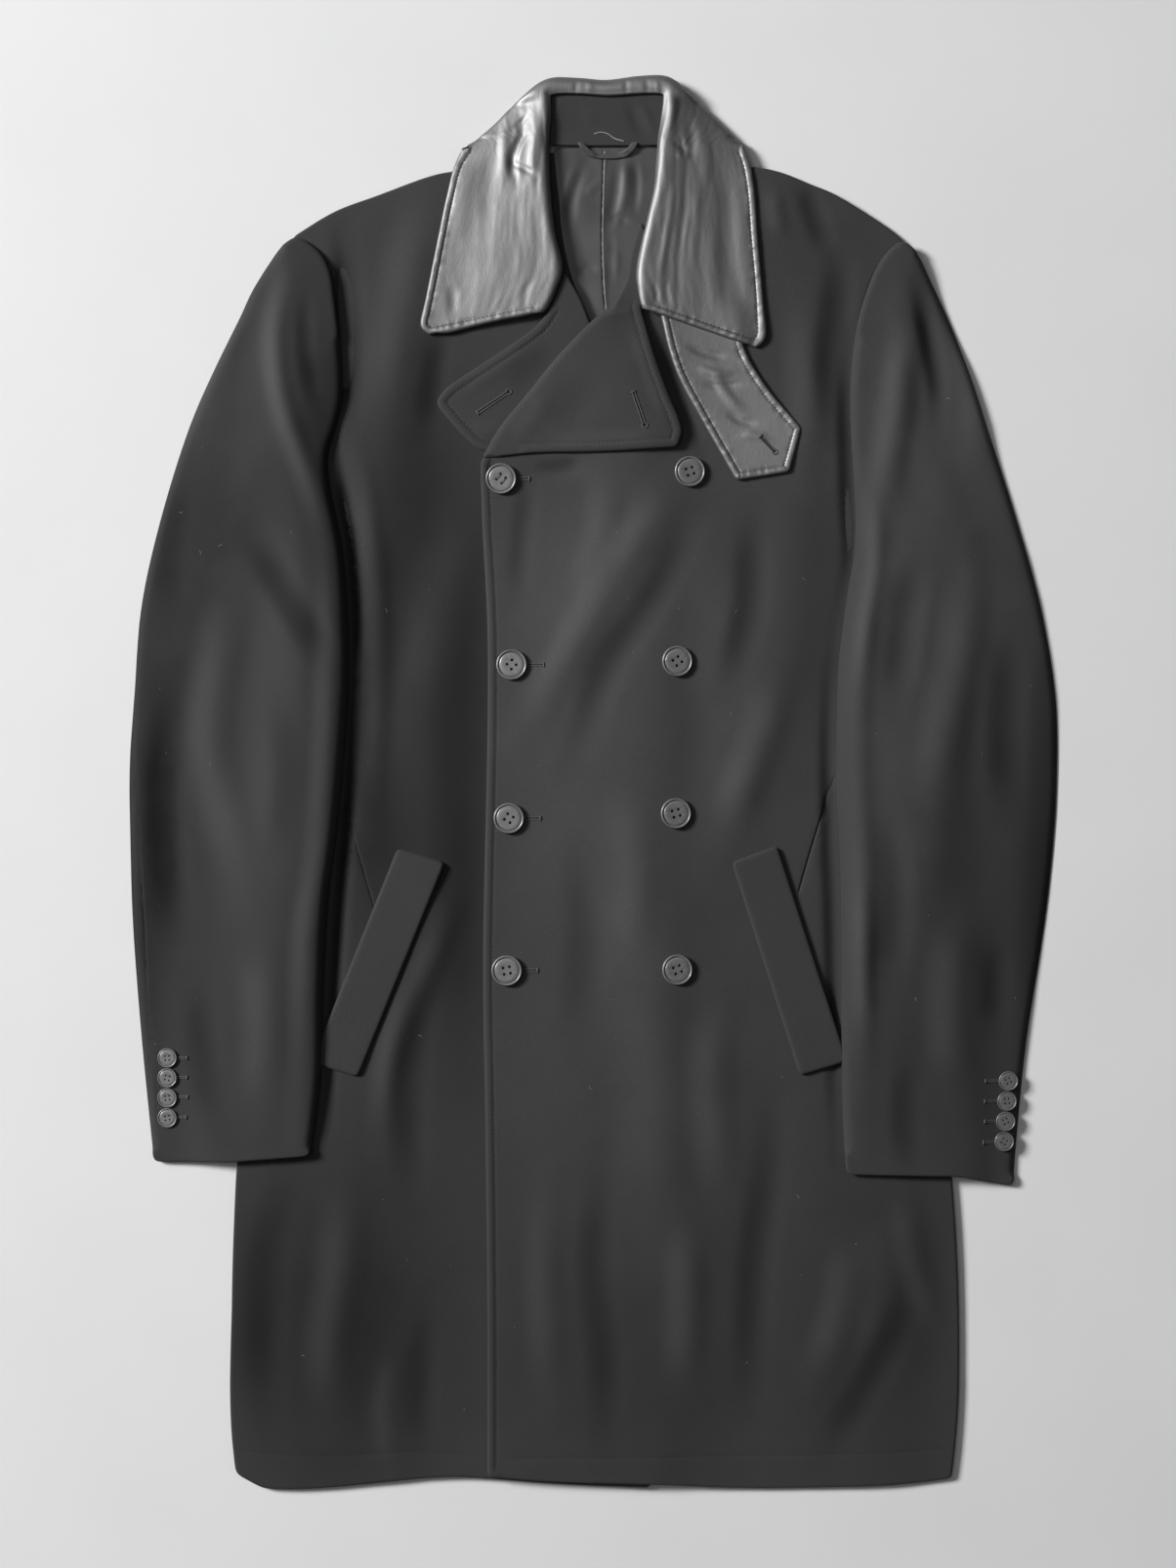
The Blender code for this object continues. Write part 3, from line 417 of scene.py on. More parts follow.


def paintLightAndShade(piece, look):
    # painted light and shade at each point (over 0.5 painted lighter, under 0.5 painted darker)
    mesh = piece.data
    spots = np.empty(len(mesh.vertices) * 3, np.float32)
    mesh.vertices.foreach_get("co", spots)
    plan = spots.reshape(-1, 3)[:, :2].astype(float) / mm
    # painted shade: darker in the troughs of the folds, lighter on their ridges
    tone = 0.5 + creaseHeight(look.get("creases", []), plan) * paintedShadePerFoldHeight
    # painted patches of light and shade, from the look's list
    for place, wide, tall, lean, amount in look.get("paintedLightAndShade", []):
        turn = math.radians(lean)
        off = plan - place
        across = off[:, 0] * math.cos(turn) + off[:, 1] * math.sin(turn)
        ahead = off[:, 1] * math.cos(turn) - off[:, 0] * math.sin(turn)
        tone += amount * np.exp(-(across / wide) ** 2 - (ahead / tall) ** 2)
    # the painted light and shade is kept on the mesh as a point attribute that the twill's colour reads
    layer = mesh.attributes.new("napAndPaintedShade", "FLOAT", "POINT")
    layer.data.foreach_set("value", np.clip(tone, 0.0, 1.0).astype(np.float32))


def skinTree(points, faces):
    return BVHTree.FromPolygons([tuple(point) for point in points], [tuple(face) for face in faces])


def closeShell(node, look, upper, lower):
    # the upper skin and the underside, each as (points, faces, rim), joined along their rims
    points, faces, rim = upper
    lowPoints, lowFaces, lowRim = lower
    count = len(points)
    shell = [tuple(face) for face in faces]
    shell += [tuple(index + count for index in reversed(face)) for face in lowFaces]
    for here, after in zip(range(len(rim)), list(range(1, len(rim))) + [0]):
        shell.append((rim[after], rim[here], lowRim[here] + count, lowRim[after] + count))
    piece = addPiece(look["name"], np.vstack([points, lowPoints]), shell, look["material"])
    skins[node] = skinTree(points, faces)
    dress(node)
    paintLightAndShade(piece, look)


def addObject(name, data):
    made = bpy.data.objects.new(name, data)
    bpy.context.scene.collection.objects.link(made)
    return made


def addPiece(name, points, faces, material):
    mesh = bpy.data.meshes.new(name)
    mesh.from_pydata((np.asarray(points) * mm).tolist(), [], faces)
    shape = bmesh.new()
    shape.from_mesh(mesh)
    loose = [vertex for vertex in shape.verts if not vertex.link_faces]
    bmesh.ops.delete(shape, geom=loose, context="VERTS")
    bmesh.ops.recalc_face_normals(shape, faces=shape.faces)
    shape.to_mesh(mesh)
    shape.free()
    mesh.shade_smooth()
    mesh.materials.append(materials[material])
    piece = addObject(name, mesh)
    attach(piece, "root")
    return piece


def dress(node):
    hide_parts(node)


# Shader node groups and small helpers for the materials

def newMaterial(name):
    material = bpy.data.materials.new(name)
    material.use_nodes = True
    materials[name] = material
    return material.node_tree, material.node_tree.nodes["Principled BSDF"]


def newGroup(name, inputs, outputs):
    group = bpy.data.node_groups.new(name, "ShaderNodeTree")
    for label, value in inputs.items():
        socket = group.interface.new_socket(name=label, in_out="INPUT", socket_type="NodeSocketFloat")
        socket.default_value = value
    for label in outputs:
        group.interface.new_socket(name=label, in_out="OUTPUT", socket_type="NodeSocketFloat")
    return group, group.nodes.new("NodeGroupInput"), group.nodes.new("NodeGroupOutput")


def useGroup(tree, name, **values):
    made = tree.nodes.new("ShaderNodeGroup")
    made.node_tree = bpy.data.node_groups[name]
    for label, value in values.items():
        made.inputs[label].default_value = value
    return made


def plug(tree, value, socket):
    # a number is set on the socket, another socket is linked to it
    if isinstance(value, (int, float)):
        socket.default_value = value
    else:
        tree.links.new(value, socket)


def sums(tree, operation, first, second=0.0, third=None):
    made = tree.nodes.new("ShaderNodeMath")
    made.operation = operation
    plug(tree, first, made.inputs[0])
    plug(tree, second, made.inputs[1])
    if third is not None:
        plug(tree, third, made.inputs[2])
    return made.outputs[0]


def spread(tree, value, low, high, newLow=0.0, newHigh=1.0):
    made = tree.nodes.new("ShaderNodeMapRange")
    plug(tree, value, made.inputs["Value"])
    for label, number in (("From Min", low), ("From Max", high), ("To Min", newLow), ("To Max", newHigh)):
        made.inputs[label].default_value = number
    return made.outputs["Result"]


def cloud(tree, scale, detail=3.0, rough=0.5, stretch=None, distort=0.0):
    # a noise whose scale is in waves a millimetre
    place = tree.nodes.new("ShaderNodeTexCoord").outputs["Object"]
    if stretch:
        mapping = tree.nodes.new("ShaderNodeMapping")
        mapping.inputs["Scale"].default_value = stretch
        tree.links.new(place, mapping.inputs["Vector"])
        place = mapping.outputs["Vector"]
    made = tree.nodes.new("ShaderNodeTexNoise")
    tree.links.new(place, made.inputs["Vector"])
    plug(tree, scale, made.inputs["Scale"])
    made.inputs["Detail"].default_value = detail
    made.inputs["Roughness"].default_value = rough
    made.inputs["Distortion"].default_value = distort
    return made.outputs["Fac"]


def paint(tree, shader, factor, dark, light):
    tree.links.new(blendColours(tree, factor, dark, light), shader.inputs["Base Color"])


def bump(tree, height, strength, distance, normal=None):
    made = tree.nodes.new("ShaderNodeBump")
    made.inputs["Strength"].default_value = strength
    made.inputs["Distance"].default_value = distance * mm
    tree.links.new(height, made.inputs["Height"])
    if normal is not None:
        tree.links.new(normal, made.inputs["Normal"])
    return made.outputs["Normal"]


def blendColours(tree, factor, first, second):
    made = tree.nodes.new("ShaderNodeMix")
    made.data_type = "RGBA"
    tree.links.new(factor, made.inputs["Factor"])
    made.inputs["A"].default_value = (*first, 1.0)
    made.inputs["B"].default_value = (*second, 1.0)
    return made.outputs["Result"]


def makeTwillGroup():
    # diagonal ribs broken into short floats; Pitch in mm, Turn in radians
    group, given, result = newGroup("twillWeave", {"Pitch": 1.4, "Turn": 0.9, "Wander": 0.2}, ["Height"])
    place = group.nodes.new("ShaderNodeTexCoord").outputs["Object"]
    turned = group.nodes.new("ShaderNodeVectorRotate")
    turned.rotation_type = "Z_AXIS"
    group.links.new(place, turned.inputs["Vector"])
    group.links.new(given.outputs["Turn"], turned.inputs["Angle"])
    parts = group.nodes.new("ShaderNodeSeparateXYZ")
    group.links.new(turned.outputs["Vector"], parts.inputs["Vector"])
    waves = sums(group, "DIVIDE", 2 * math.pi / mm, given.outputs["Pitch"])
    drift = spread(group, cloud(group, 260.0), 0.3, 0.7, -6.0, 6.0)
    wander = sums(group, "MULTIPLY", drift, given.outputs["Wander"])
    across = sums(group, "MULTIPLY_ADD", parts.outputs["X"], waves, wander)
    along = sums(group, "MULTIPLY", sums(group, "MULTIPLY_ADD", parts.outputs["Y"], waves, wander), 0.72)
    rib = sums(group, "SINE", across)
    floats = sums(group, "SINE", sums(group, "ADD", along, sums(group, "MULTIPLY", across, 0.5)))
    share = sums(group, "MULTIPLY_ADD", floats, 0.3, 1.0)
    woven = sums(group, "MULTIPLY_ADD", sums(group, "MULTIPLY", rib, 0.36), share, 0.5)
    group.links.new(woven, result.inputs["Height"])


def makeNapGroup():
    # short raised fibres: a fine fuzz, and slow patches where the nap lies another way
    group, given, result = newGroup("woolNap", {"Fuzz": 1.0}, ["Height", "Patch"])
    fine = cloud(group, 1300.0, 4.0, 0.7)
    slow = cloud(group, 22.0, 3.0, 0.6)
    group.links.new(sums(group, "MULTIPLY", fine, given.outputs["Fuzz"]), result.inputs["Height"])
    group.links.new(slow, result.inputs["Patch"])


def makeGrainGroup():
    # leather: pebbled pores, fine crinkles that run down the hide, and slow mottling
    group, given, result = newGroup("leatherGrain", {"Pebble": 1.0, "Crinkle": 1.0}, ["Height", "Mottle"])
    cells = group.nodes.new("ShaderNodeTexVoronoi")
    cells.feature = "SMOOTH_F1"
    cells.inputs["Scale"].default_value = 950.0
    cells.inputs["Smoothness"].default_value = 0.6
    group.links.new(group.nodes.new("ShaderNodeTexCoord").outputs["Object"], cells.inputs["Vector"])
    pebbles = sums(group, "MULTIPLY", cells.outputs["Distance"], given.outputs["Pebble"])
    lines = cloud(group, 150.0, 5.0, 0.62, (1.0, 0.42, 1.0), 1.2)
    folded = sums(group, "ABSOLUTE", sums(group, "SUBTRACT", lines, 0.5))
    sharp = sums(group, "MINIMUM", sums(group, "MULTIPLY", folded, 9.0), 1.0)
    crinkles = sums(group, "MULTIPLY", sharp, given.outputs["Crinkle"])
    height = sums(group, "MULTIPLY_ADD", crinkles, 1.0, sums(group, "MULTIPLY", pebbles, 0.35))
    group.links.new(height, result.inputs["Height"])
    group.links.new(cloud(group, 28.0, 4.0, 0.6), result.inputs["Mottle"])


twillLook = {
    "dark": (0.0050, 0.0050, 0.0052), "light": (0.0360, 0.0360, 0.0368), "rough": (0.82, 0.97),
    "sheen": 0.03, "pitch": 1.25, "weaveBump": 0.45, "weaveHeight": 0.20, "napBump": 0.6, "napHeight": 0.30,
    # how far the painted shade darkens and the painted light lightens the twill's colour
    "paintedShadeRange": (0.06, 1.94),
}
# how far the ribs of each twill are turned, in radians
twillTurns = {"twillBody": 0.68, "twillRightSleeve": 0.55, "twillLeftSleeve": 0.80, "twillLapel": -0.5}


def makeTwill(name, turn):
    tree, shader = newMaterial(name)
    look = twillLook
    weave = useGroup(tree, "twillWeave", Pitch=look["pitch"], Turn=turn, Wander=0.2)
    napAndPaintedShade = useGroup(tree, "woolNap", Fuzz=1.0)
    shade = sums(tree, "MULTIPLY", weave.outputs["Height"], 0.40)
    shade = sums(tree, "MULTIPLY_ADD", napAndPaintedShade.outputs["Height"], 0.40, shade)
    shade = sums(tree, "MULTIPLY_ADD", napAndPaintedShade.outputs["Patch"], 0.25, shade)
    colour = blendColours(tree, spread(tree, shade, 0.24, 0.84), look["dark"], look["light"])
    # painted light and shade, read from the mesh attribute made with each sheet
    paintedLightAndShade = tree.nodes.new("ShaderNodeAttribute")
    paintedLightAndShade.attribute_name = "napAndPaintedShade"
    # the first gain is where the painted shade is darkest, the second where the painted light is brightest
    flat, paintedLightGain = look["paintedShadeRange"]
    gain = tree.nodes.new("ShaderNodeVectorMath")  # the weave's colour, painted lighter on ridges and lit patches, darker in troughs and shaded patches
    gain.operation = "SCALE"
    tree.links.new(colour, gain.inputs[0])
    tree.links.new(spread(tree, paintedLightAndShade.outputs["Fac"], 0.0, 1.0, flat, paintedLightGain), gain.inputs["Scale"])
    tree.links.new(gain.outputs[0], shader.inputs["Base Color"])
    low, high = look["rough"]
    tree.links.new(spread(tree, napAndPaintedShade.outputs["Patch"], 0.3, 0.7, low, high), shader.inputs["Roughness"])
    shader.inputs["Sheen Weight"].default_value = look["sheen"]
    shader.inputs["Sheen Roughness"].default_value = 0.45
    shader.inputs["Specular IOR Level"].default_value = 0.25
    ribs = bump(tree, weave.outputs["Height"], look["weaveBump"], look["weaveHeight"])
    fuzz = bump(tree, napAndPaintedShade.outputs["Height"], look["napBump"], look["napHeight"], ribs)
    tree.links.new(fuzz, shader.inputs["Normal"])


leatherLook = {
    "dark": (0.0088, 0.0086, 0.0092), "light": (0.0185, 0.0181, 0.0189), "rough": (0.53, 0.65),
    "specular": 0.85, "ior": 1.8, "coat": 0.02, "coatRough": 0.35, "grainBump": 0.32, "grainHeight": 0.14,
}


def makeLeather():
    tree, shader = newMaterial("leather")
    look = leatherLook
    grain = useGroup(tree, "leatherGrain", Pebble=0.8, Crinkle=0.8)
    paint(tree, shader, spread(tree, grain.outputs["Mottle"], 0.3, 0.7), look["dark"], look["light"])
    low, high = look["rough"]
    tree.links.new(spread(tree, grain.outputs["Mottle"], 0.25, 0.75, high, low), shader.inputs["Roughness"])
    shader.inputs["Specular IOR Level"].default_value = look["specular"]
    shader.inputs["IOR"].default_value = look["ior"]
    shader.inputs["Coat Weight"].default_value = look["coat"]
    shader.inputs["Coat Roughness"].default_value = look["coatRough"]
    pores = bump(tree, grain.outputs["Height"], look["grainBump"], look["grainHeight"])
    tree.links.new(pores, shader.inputs["Normal"])


satinLook = {
    "dark": (0.013, 0.013, 0.014), "light": (0.023, 0.023, 0.025), "rough": (0.48, 0.60), "sheen": 0.15,
}


def makeSatin():
    tree, shader = newMaterial("satin")
    look = satinLook
    weave = useGroup(tree, "twillWeave", Pitch=0.9, Turn=0.78, Wander=0.1)
    slow = cloud(tree, 40.0, 3.0)
    paint(tree, shader, spread(tree, slow, 0.3, 0.7), look["dark"], look["light"])
    tree.links.new(spread(tree, slow, 0.3, 0.7, *look["rough"]), shader.inputs["Roughness"])
    shader.inputs["Sheen Weight"].default_value = look["sheen"]
    tree.links.new(bump(tree, weave.outputs["Height"], 0.15, 0.08), shader.inputs["Normal"])


hornLook = {
    "dark": (0.052, 0.052, 0.053), "light": (0.085, 0.085, 0.087), "rough": (0.30, 0.42), "ior": 1.65,
    "coat": 0.1, "coatRough": 0.25,
}


def makeHorn():
    tree, shader = newMaterial("horn")
    look = hornLook
    streaks = cloud(tree, 180.0, 4.0, 0.6, (1.0, 0.35, 1.0), 0.6)
    paint(tree, shader, spread(tree, streaks, 0.35, 0.7), look["dark"], look["light"])
    tree.links.new(spread(tree, cloud(tree, 420.0), 0.3, 0.7, *look["rough"]), shader.inputs["Roughness"])
    shader.inputs["IOR"].default_value = look["ior"]
    shader.inputs["Coat Weight"].default_value = look["coat"]
    shader.inputs["Coat Roughness"].default_value = look["coatRough"]


threadLooks = {  # dark and light colour, roughness
    "blackThread": ((0.008, 0.008, 0.009), (0.022, 0.022, 0.024), 0.55),
    "holeThread": ((0.018, 0.018, 0.0185), (0.044, 0.044, 0.045), 0.7),
    # near-black painted shade for the insides of the button holes and the buttonhole openings
    "holeShade": ((0.002, 0.002, 0.002), (0.004, 0.004, 0.004), 0.9),
    "paleThread": ((0.20, 0.20, 0.20), (0.34, 0.34, 0.34), 0.6),
}


def makeThread(name, dark, light, rough):
    tree, shader = newMaterial(name)
    fibres = cloud(tree, 1500.0, 3.0, 0.6)
    paint(tree, shader, spread(tree, fibres, 0.3, 0.7), dark, light)
    shader.inputs["Roughness"].default_value = rough
    tree.links.new(bump(tree, fibres, 0.3, 0.1), shader.inputs["Normal"])


def makeMaterials():
    makeTwillGroup()
    makeNapGroup()
    makeGrainGroup()
    for name, turn in twillTurns.items():
        makeTwill(name, turn)
    makeLeather()
    makeSatin()
    makeHorn()
    for name, look in threadLooks.items():
        makeThread(name, *look)
    print("materials made")


makeMaterials()


# Body panels. Each look gives the cloth's wall, how close its points lie ("step" along the border,
# "rows" inside it, "cell" elsewhere), how far its border turns down, its cut (width and length in
# metres, with its area) and what it lies on. "creases" are lines with a reach and a height over
# them, which also paint shade into the twill's colour, darker in troughs and lighter on ridges;
# "edges" are stretches of border that turn down another way, and "pulls" move the border near a
# point (x, y, move x, move y, reach). The patch lists paint light and shade into the colour: middle,
# half width, half length, lean in degrees, how much lighter (below 0, darker).

dartLine = {"rows": [0.4, 0.9, 1.7], "depth": 0.8, "width": 0.7}
hemLine = {"rows": [0.5, 1.2], "depth": 0.22, "width": 0.8}
clothStitch = {"inset": 6.6, "groove": 0.75, "dip": 0.6, "swell": 0.6, "pitch": 2.8}
panel = {"material": "twillBody", "slot": "twill", "wall": 2.2, "round": 1.7, "drop": 1.5}
lapel = {
    **panel, "material": "twillLapel", "blur": 5.0, "step": 1.4, "cell": 2.2, "wave": 0.4,
    "rows": [0.35, 0.9, 1.7, 2.8, 4.2, 5.6, 6.3, 6.9, 7.7, 9.0],
}
topSleeve = {
    **panel, "wall": 2.0, "round": 7.0, "drop": 6.2, "wave": 0.8,
    "step": 2.0, "rows": [0.3, 0.8, 1.5, 2.4, 3.5, 4.8, 6.4], "cell": 3.6,
}

backLook = {
    "name": "back_cloth", "material": "twillBody", "slot": "twill", "wall": 1.8,
    "step": 4.0, "rows": [1.0, 2.6], "cell": 9.0, "round": 1.2, "drop": 1.0, "wave": 0.1,
    "cut": (0.525, 0.96), "area": 0.443, "restsOn": ["floor"],
}
liningLook = {
    "name": "lining_cloth", "material": "satin", "slot": "satin", "wall": 0.8, "blur": 4.0,
    "step": 1.6, "rows": [0.6, 1.5], "cell": 1.5, "round": 0.6, "drop": 0.4, "wave": 0.5,
    "cut": (0.078, 0.133), "area": 0.0078, "restsOn": ["back_cloth"],
    "lines": [
        {
            "points": [(7.5, 455.5), (6.5, 422), (6, 387), (7.5, 352), (9, 339.5)],
            "rows": [0.3, 0.7, 1.3], "depth": 0.9, "width": 0.45, "ledge": 0.5,
        },
    ],
    "creases": [
        ((-5, 446.5), (-15.5, 422), (-18, 394), 7, -0.7),
        ((-12, 444.5), (-23, 411.5), 6, 0.5),
        ((17, 446.5), (15, 422), (10, 394), 6, -0.8),
        ((23, 448.5), (23, 425.5), (18.5, 406.5), 5, 0.8),
        ((29.5, 448.5), (31, 429), (28.5, 408), 5, -0.8),
        ((-5, 422), (0.5, 429), (5, 432), 5, 0.4),
        ((10, 404.5), (18.5, 406.5), (26, 402.5), 5, -0.6),
        ((12, 385.5), (15.5, 378.5), (15, 364.5), 6, 0.5),
        ((-12, 366), (-3, 371.5), (4.5, 369.5), 6, -0.5),
        ((11.5, 399.5), (13.5, 378.5), (11.5, 355), 5, -0.5),
    ],
}
frontRightLook = {
    **panel, "name": "front_right_cloth", "wave": 0.7,
    "step": 2.0, "rows": [0.5, 1.2, 2.2, 3.8], "cell": 3.8,
    "cut": (0.303, 0.956), "area": 0.25, "restsOn": ["back_cloth", "lining_cloth"],
    "lines": [
        {
            **dartLine, "ledge": 0.3,
            "points": [(-179, -13.5), (-175.5, -26), (-165.5, -59.5), (-156.5, -90.5)],
        },
        {**hemLine, "points": [(-254.5, -479.5), (-194, -482.5), (-131, -479.5), (-82, -482.5)]},
    ],
    # painted shade: darker patches on the chest and the skirt beside the sleeve
    "paintedLightAndShade": [
        ((-127.5, 184), 46, 130, 0, -0.40), ((-156, 2), 40, 130, 0, -0.38),
        ((-180, -390), 80, 125, 0, -0.42), ((-110, -124), 45, 130, 0, -0.22),
    ],
    "creases": [
        ((-88, 226), (-84.5, 114), (-86.5, 2), (-90.5, -110), (-86.5, -222), 36, -2.4),
        ((-145, 226), (-137, 114), (-132.5, 16), (-124, -68), 34, 2.2),
        ((-251.5, -299), (-253, -369), (-250, -453), 26, -0.7),
        ((-187, 254), (-179, 205), (-172, 163), (-169, 114), (-169, 72), 7, -4.2),
        ((-169, 72), (-173, 2), (-180, -68), (-187, -159), (-191, -250), 7, -3.4),
        ((-179, 268), (-165, 212), (-156.5, 142), (-156, 58), (-162, -40), 13, 2.8),
        ((-183, 394), (-180, 352), (-179, 310), (-181.5, 268), 8, -2.4),
        ((-117, 429), (-135, 359), (-146.5, 296), (-149, 247), 26, 2.5),
        ((-107, 331), (-116, 282), (-120, 247), 13, -2.0),
        ((-179, 397.5), (-176, 352), (-174.5, 296), (-179, 247), 15, -3.1),
        ((-96, 212), (-107, 128), (-124, 44), 28, 2.2),
        ((-145, 198), (-149, 114), (-163, 30), 26, -2.2),
        ((-96, -68), (-117, -124), (-145, -194), (-152, -264), 16, 2.9),
        ((-109, -110), (-127.5, -173), (-132.5, -243), (-127.5, -306), 18, -2.2),
        ((-215, -271), (-232.5, -334), (-237.5, -418), (-232.5, -474), 20, -1.8),
        ((-180, -278), (-181.5, -334), (-191, -404), (-187, -467), 22, 2.7),
        ((-117, -369), (-124, -432), (-123, -491.5), 16, -1.3),
        ((-145, -404), (-149, -453), (-144, -495), 14, 1.4),
    ],
}
frontLeftLook = {
    **panel, "name": "front_left_cloth", "wave": 0.7,
    "step": 1.5, "rows": [0.35, 0.9, 1.7, 2.8, 4.2, 5.4, 6.1, 6.7, 7.4, 8.6], "cell": 3.8,
    "cut": (0.344, 0.952), "area": 0.28, "restsOn": ["front_right_cloth", "lapel_right_cloth"],
    "topstitch": {
        "along": [
            (-83, 227.5), (-81.5, 213), (-78, 173), (-76, 117), (-75, 58),
            (-77.5, -47), (-79, -118.5), (-79.5, -166), (-77.5, -236), (-76, -496.5),
        ],
        **clothStitch, "inset": 6.2, "dip": 0.55, "swell": 0.55,
    },
    "lines": [
        {**dartLine, "ledge": -0.3, "points": [(174.5, 9), (167, -12), (156.5, -45.5), (146.5, -80)]},
        {**hemLine, "points": [(-67, -483.5), (9, -483), (93, -482.5), (177, -481.5), (255, -478)]},
    ],
    # painted light on the chest, painted shade on the skirt and towards the side
    "paintedLightAndShade": [
        ((-5, 142), 62, 110, -12, 0.42), ((-12, -40), 55, 95, 0, 0.30), ((135, 142), 50, 100, 10, 0.14),
        ((23, -418), 110, 90, 0, -0.16), ((205, -376), 50, 130, 0, -0.24), ((-33, -208), 40, 80, 0, 0.12),
    ],
    "creases": [
        ((168.5, 240), (167, 156), (161.5, 72), (153, 9), 38, -2.2),
        ((89, 170), (96, 86), (98.5, 16), (94, -68), 34, 2.0),
        ((239.5, -299), (241, -376), (236, -446), 28, -1.0),
        ((208, -299), (201, -376), (191, -432), 24, 1.6),
        ((29.5, -40), (37, -138), (42.5, -236), (37, -341), 40, 1.8),
        ((185, 327.5), (181, 282), (182.5, 212), (184, 163), (175.5, 121), 8, -3.4),
        ((174, 114), (168.5, 58), (168.5, -33), (171, -103), (172.5, -194), (174, -271), 7, -3.2),
        ((-44, 227.5), (-26, 226), (-5, 230.5), 9, -2.2),
        ((39.5, 334.5), (53.5, 299.5), (69, 261), (80, 236.5), 8, -2.4),
        ((-76.5, 231.5), (-72, 226), (-75, 212), 6, -1.0),
        ((57.5, 219), (23, 163), (-5, 114), (-54, 30), 20, 3.1),
        ((75, 198), (44, 135), (9, 79), (-15.5, 9), 17, -2.7),
        ((9, 226), (5, 170), (-12, 128), 18, 1.8),
        ((-44, 226), (-51, 170), (-54, 128), 12, -1.4),
        ((135, 86), (117, 23), (93, -40), 22, 2.9),
        ((115, 198), (112.5, 128), (96, 58), 17, -2.5),
        ((150, 432.5), (159, 408), (170, 378.5), 12, -2.3),
        ((127.5, 429), (130, 411.5), (135, 390.5), 10, 1.8),
        ((178, 394), (175.5, 352), (170, 296), (174, 247), 16, -2.7),
        ((149, 352), (153, 282), (150, 212), 20, 2.2),
        ((23, 2), (29.5, -68), (23, -138), 22, 1.6),
        ((-12, -33), (-5, -110), (-12, -194), 20, -1.6),
        ((89, -145), (84.5, -222), (94, -306), 22, 2.3),
        ((131, -222), (124, -292), (115, -369), (113.5, -453), 18, -2.0),
        ((65, -306), (66, -369), (63.5, -439), 20, 2.5),
        ((232.5, -355), (208, -411), (177, -467), (166, -488), 17, -1.7),
        ((184, -320), (177, -376), (159, -432), 20, 2.3),
        ((9, -264), (3, -341), (10, -418), (7.5, -488), 18, -1.7),
        ((-33, -278), (-36, -362), (-29.5, -453), 18, 1.6),
        ((222, -288.5), (229, -341), (246.5, -397), 16, 1.8),
    ],
}
lapelRightLook = {
    **lapel, "name": "lapel_right_cloth",
    "cut": (0.141, 0.14), "area": 0.0108, "restsOn": ["front_right_cloth"],
    "topstitch": {
        "along": [
            (-36, 334.5), (-47, 323.5), (-76, 304), (-107, 283),
            (-112.5, 273.5), (-109, 266), (-95.5, 252), (-79.5, 240),
        ],
        **clothStitch,
    },
    "creases": [
        ((-96, 278.5), (-72, 296), (-44, 317), 9, 0.9),
        ((-61, 282), (-44, 296), (-25, 315.5), 14, -1.0),
        ((-89, 261), (-75, 254), (-65, 261), 10, 0.6),
    ],
}
lapelLeftLook = {
    **lapel, "name": "lapel_left_cloth",
    "edges": [
        {
            "along": [(6, 337.5), (-9, 323.5), (-28.5, 302.5), (-47, 279.5), (-67, 256), (-78, 238.5)],
            "round": 5.0, "drop": 3.2,
        },
    ],
    "cut": (0.144, 0.16), "area": 0.0101, "restsOn": ["front_left_cloth"],
    "topstitch": {
        "along": [
            (34, 334.5), (43, 310), (54, 279.5), (65, 250.5),
            (60, 241), (39, 238.5), (-9, 236.5), (-41.5, 236.5),
        ],
        **clothStitch,
    },
    "pulls": [(25.5, 391, 7, 13, 9)],
    # painted light: a lighter patch on the lapel
    "paintedLightAndShade": [((-5, 268), 70, 70, 0, 0.14)],
    "creases": [
        ((-38, 244.5), (-9, 245), (39, 247), (54, 250), 10, 1.2),
        ((26, 331), (35.5, 308.5), (46.5, 278), (55, 254), 9, 1.1),
        ((6, 339), (18.5, 336.5), (31, 340), 5, 0.9),
        ((-5, 296), (-12, 275), (-33, 254), 22, -0.9),
        ((-33, 282), (-44, 261), (-61, 245.5), 12, 0.8),
    ],
}
bandLook = {
    "name": "neck_band_cloth", "material": "twillLapel", "slot": "twill", "wall": 1.8, "blur": 2.5,
    "step": 1.6, "rows": [0.5, 1.2], "cell": 2.0, "round": 0.9, "drop": 0.6, "wave": 0.3,
    "cut": (0.13, 0.04), "area": 0.0034, "restsOn": ["back_cloth"],
    "outline": [
        (-32, 458), (-5, 457.5), (23, 457.5), (52, 458),
        (53, 478), (52, 493.5), (29.5, 495), (9, 495),
        (-12, 495), (-32, 493.5), (-32.5, 478),
    ],
    "creases": [
        ((26, 488.5), (29.5, 474.5), (37, 460.5), 6, -0.7),
        ((33, 489.5), (39.5, 474.5), (45, 462), 5, 0.6),
        ((-5, 485), (-1, 471), 7, 0.3),
    ],
}
loopLook = {
    "name": "hanger_loop_cloth", "material": "satin", "slot": "satin", "wall": 0.9, "blur": 1.6,
    "step": 0.9, "rows": [0.3, 0.7], "cell": 0.9, "round": 0.6, "drop": 0.5, "wave": 0.1,
    "cut": (0.045, 0.012), "area": 0.00025, "restsOn": ["lining_cloth"],
}
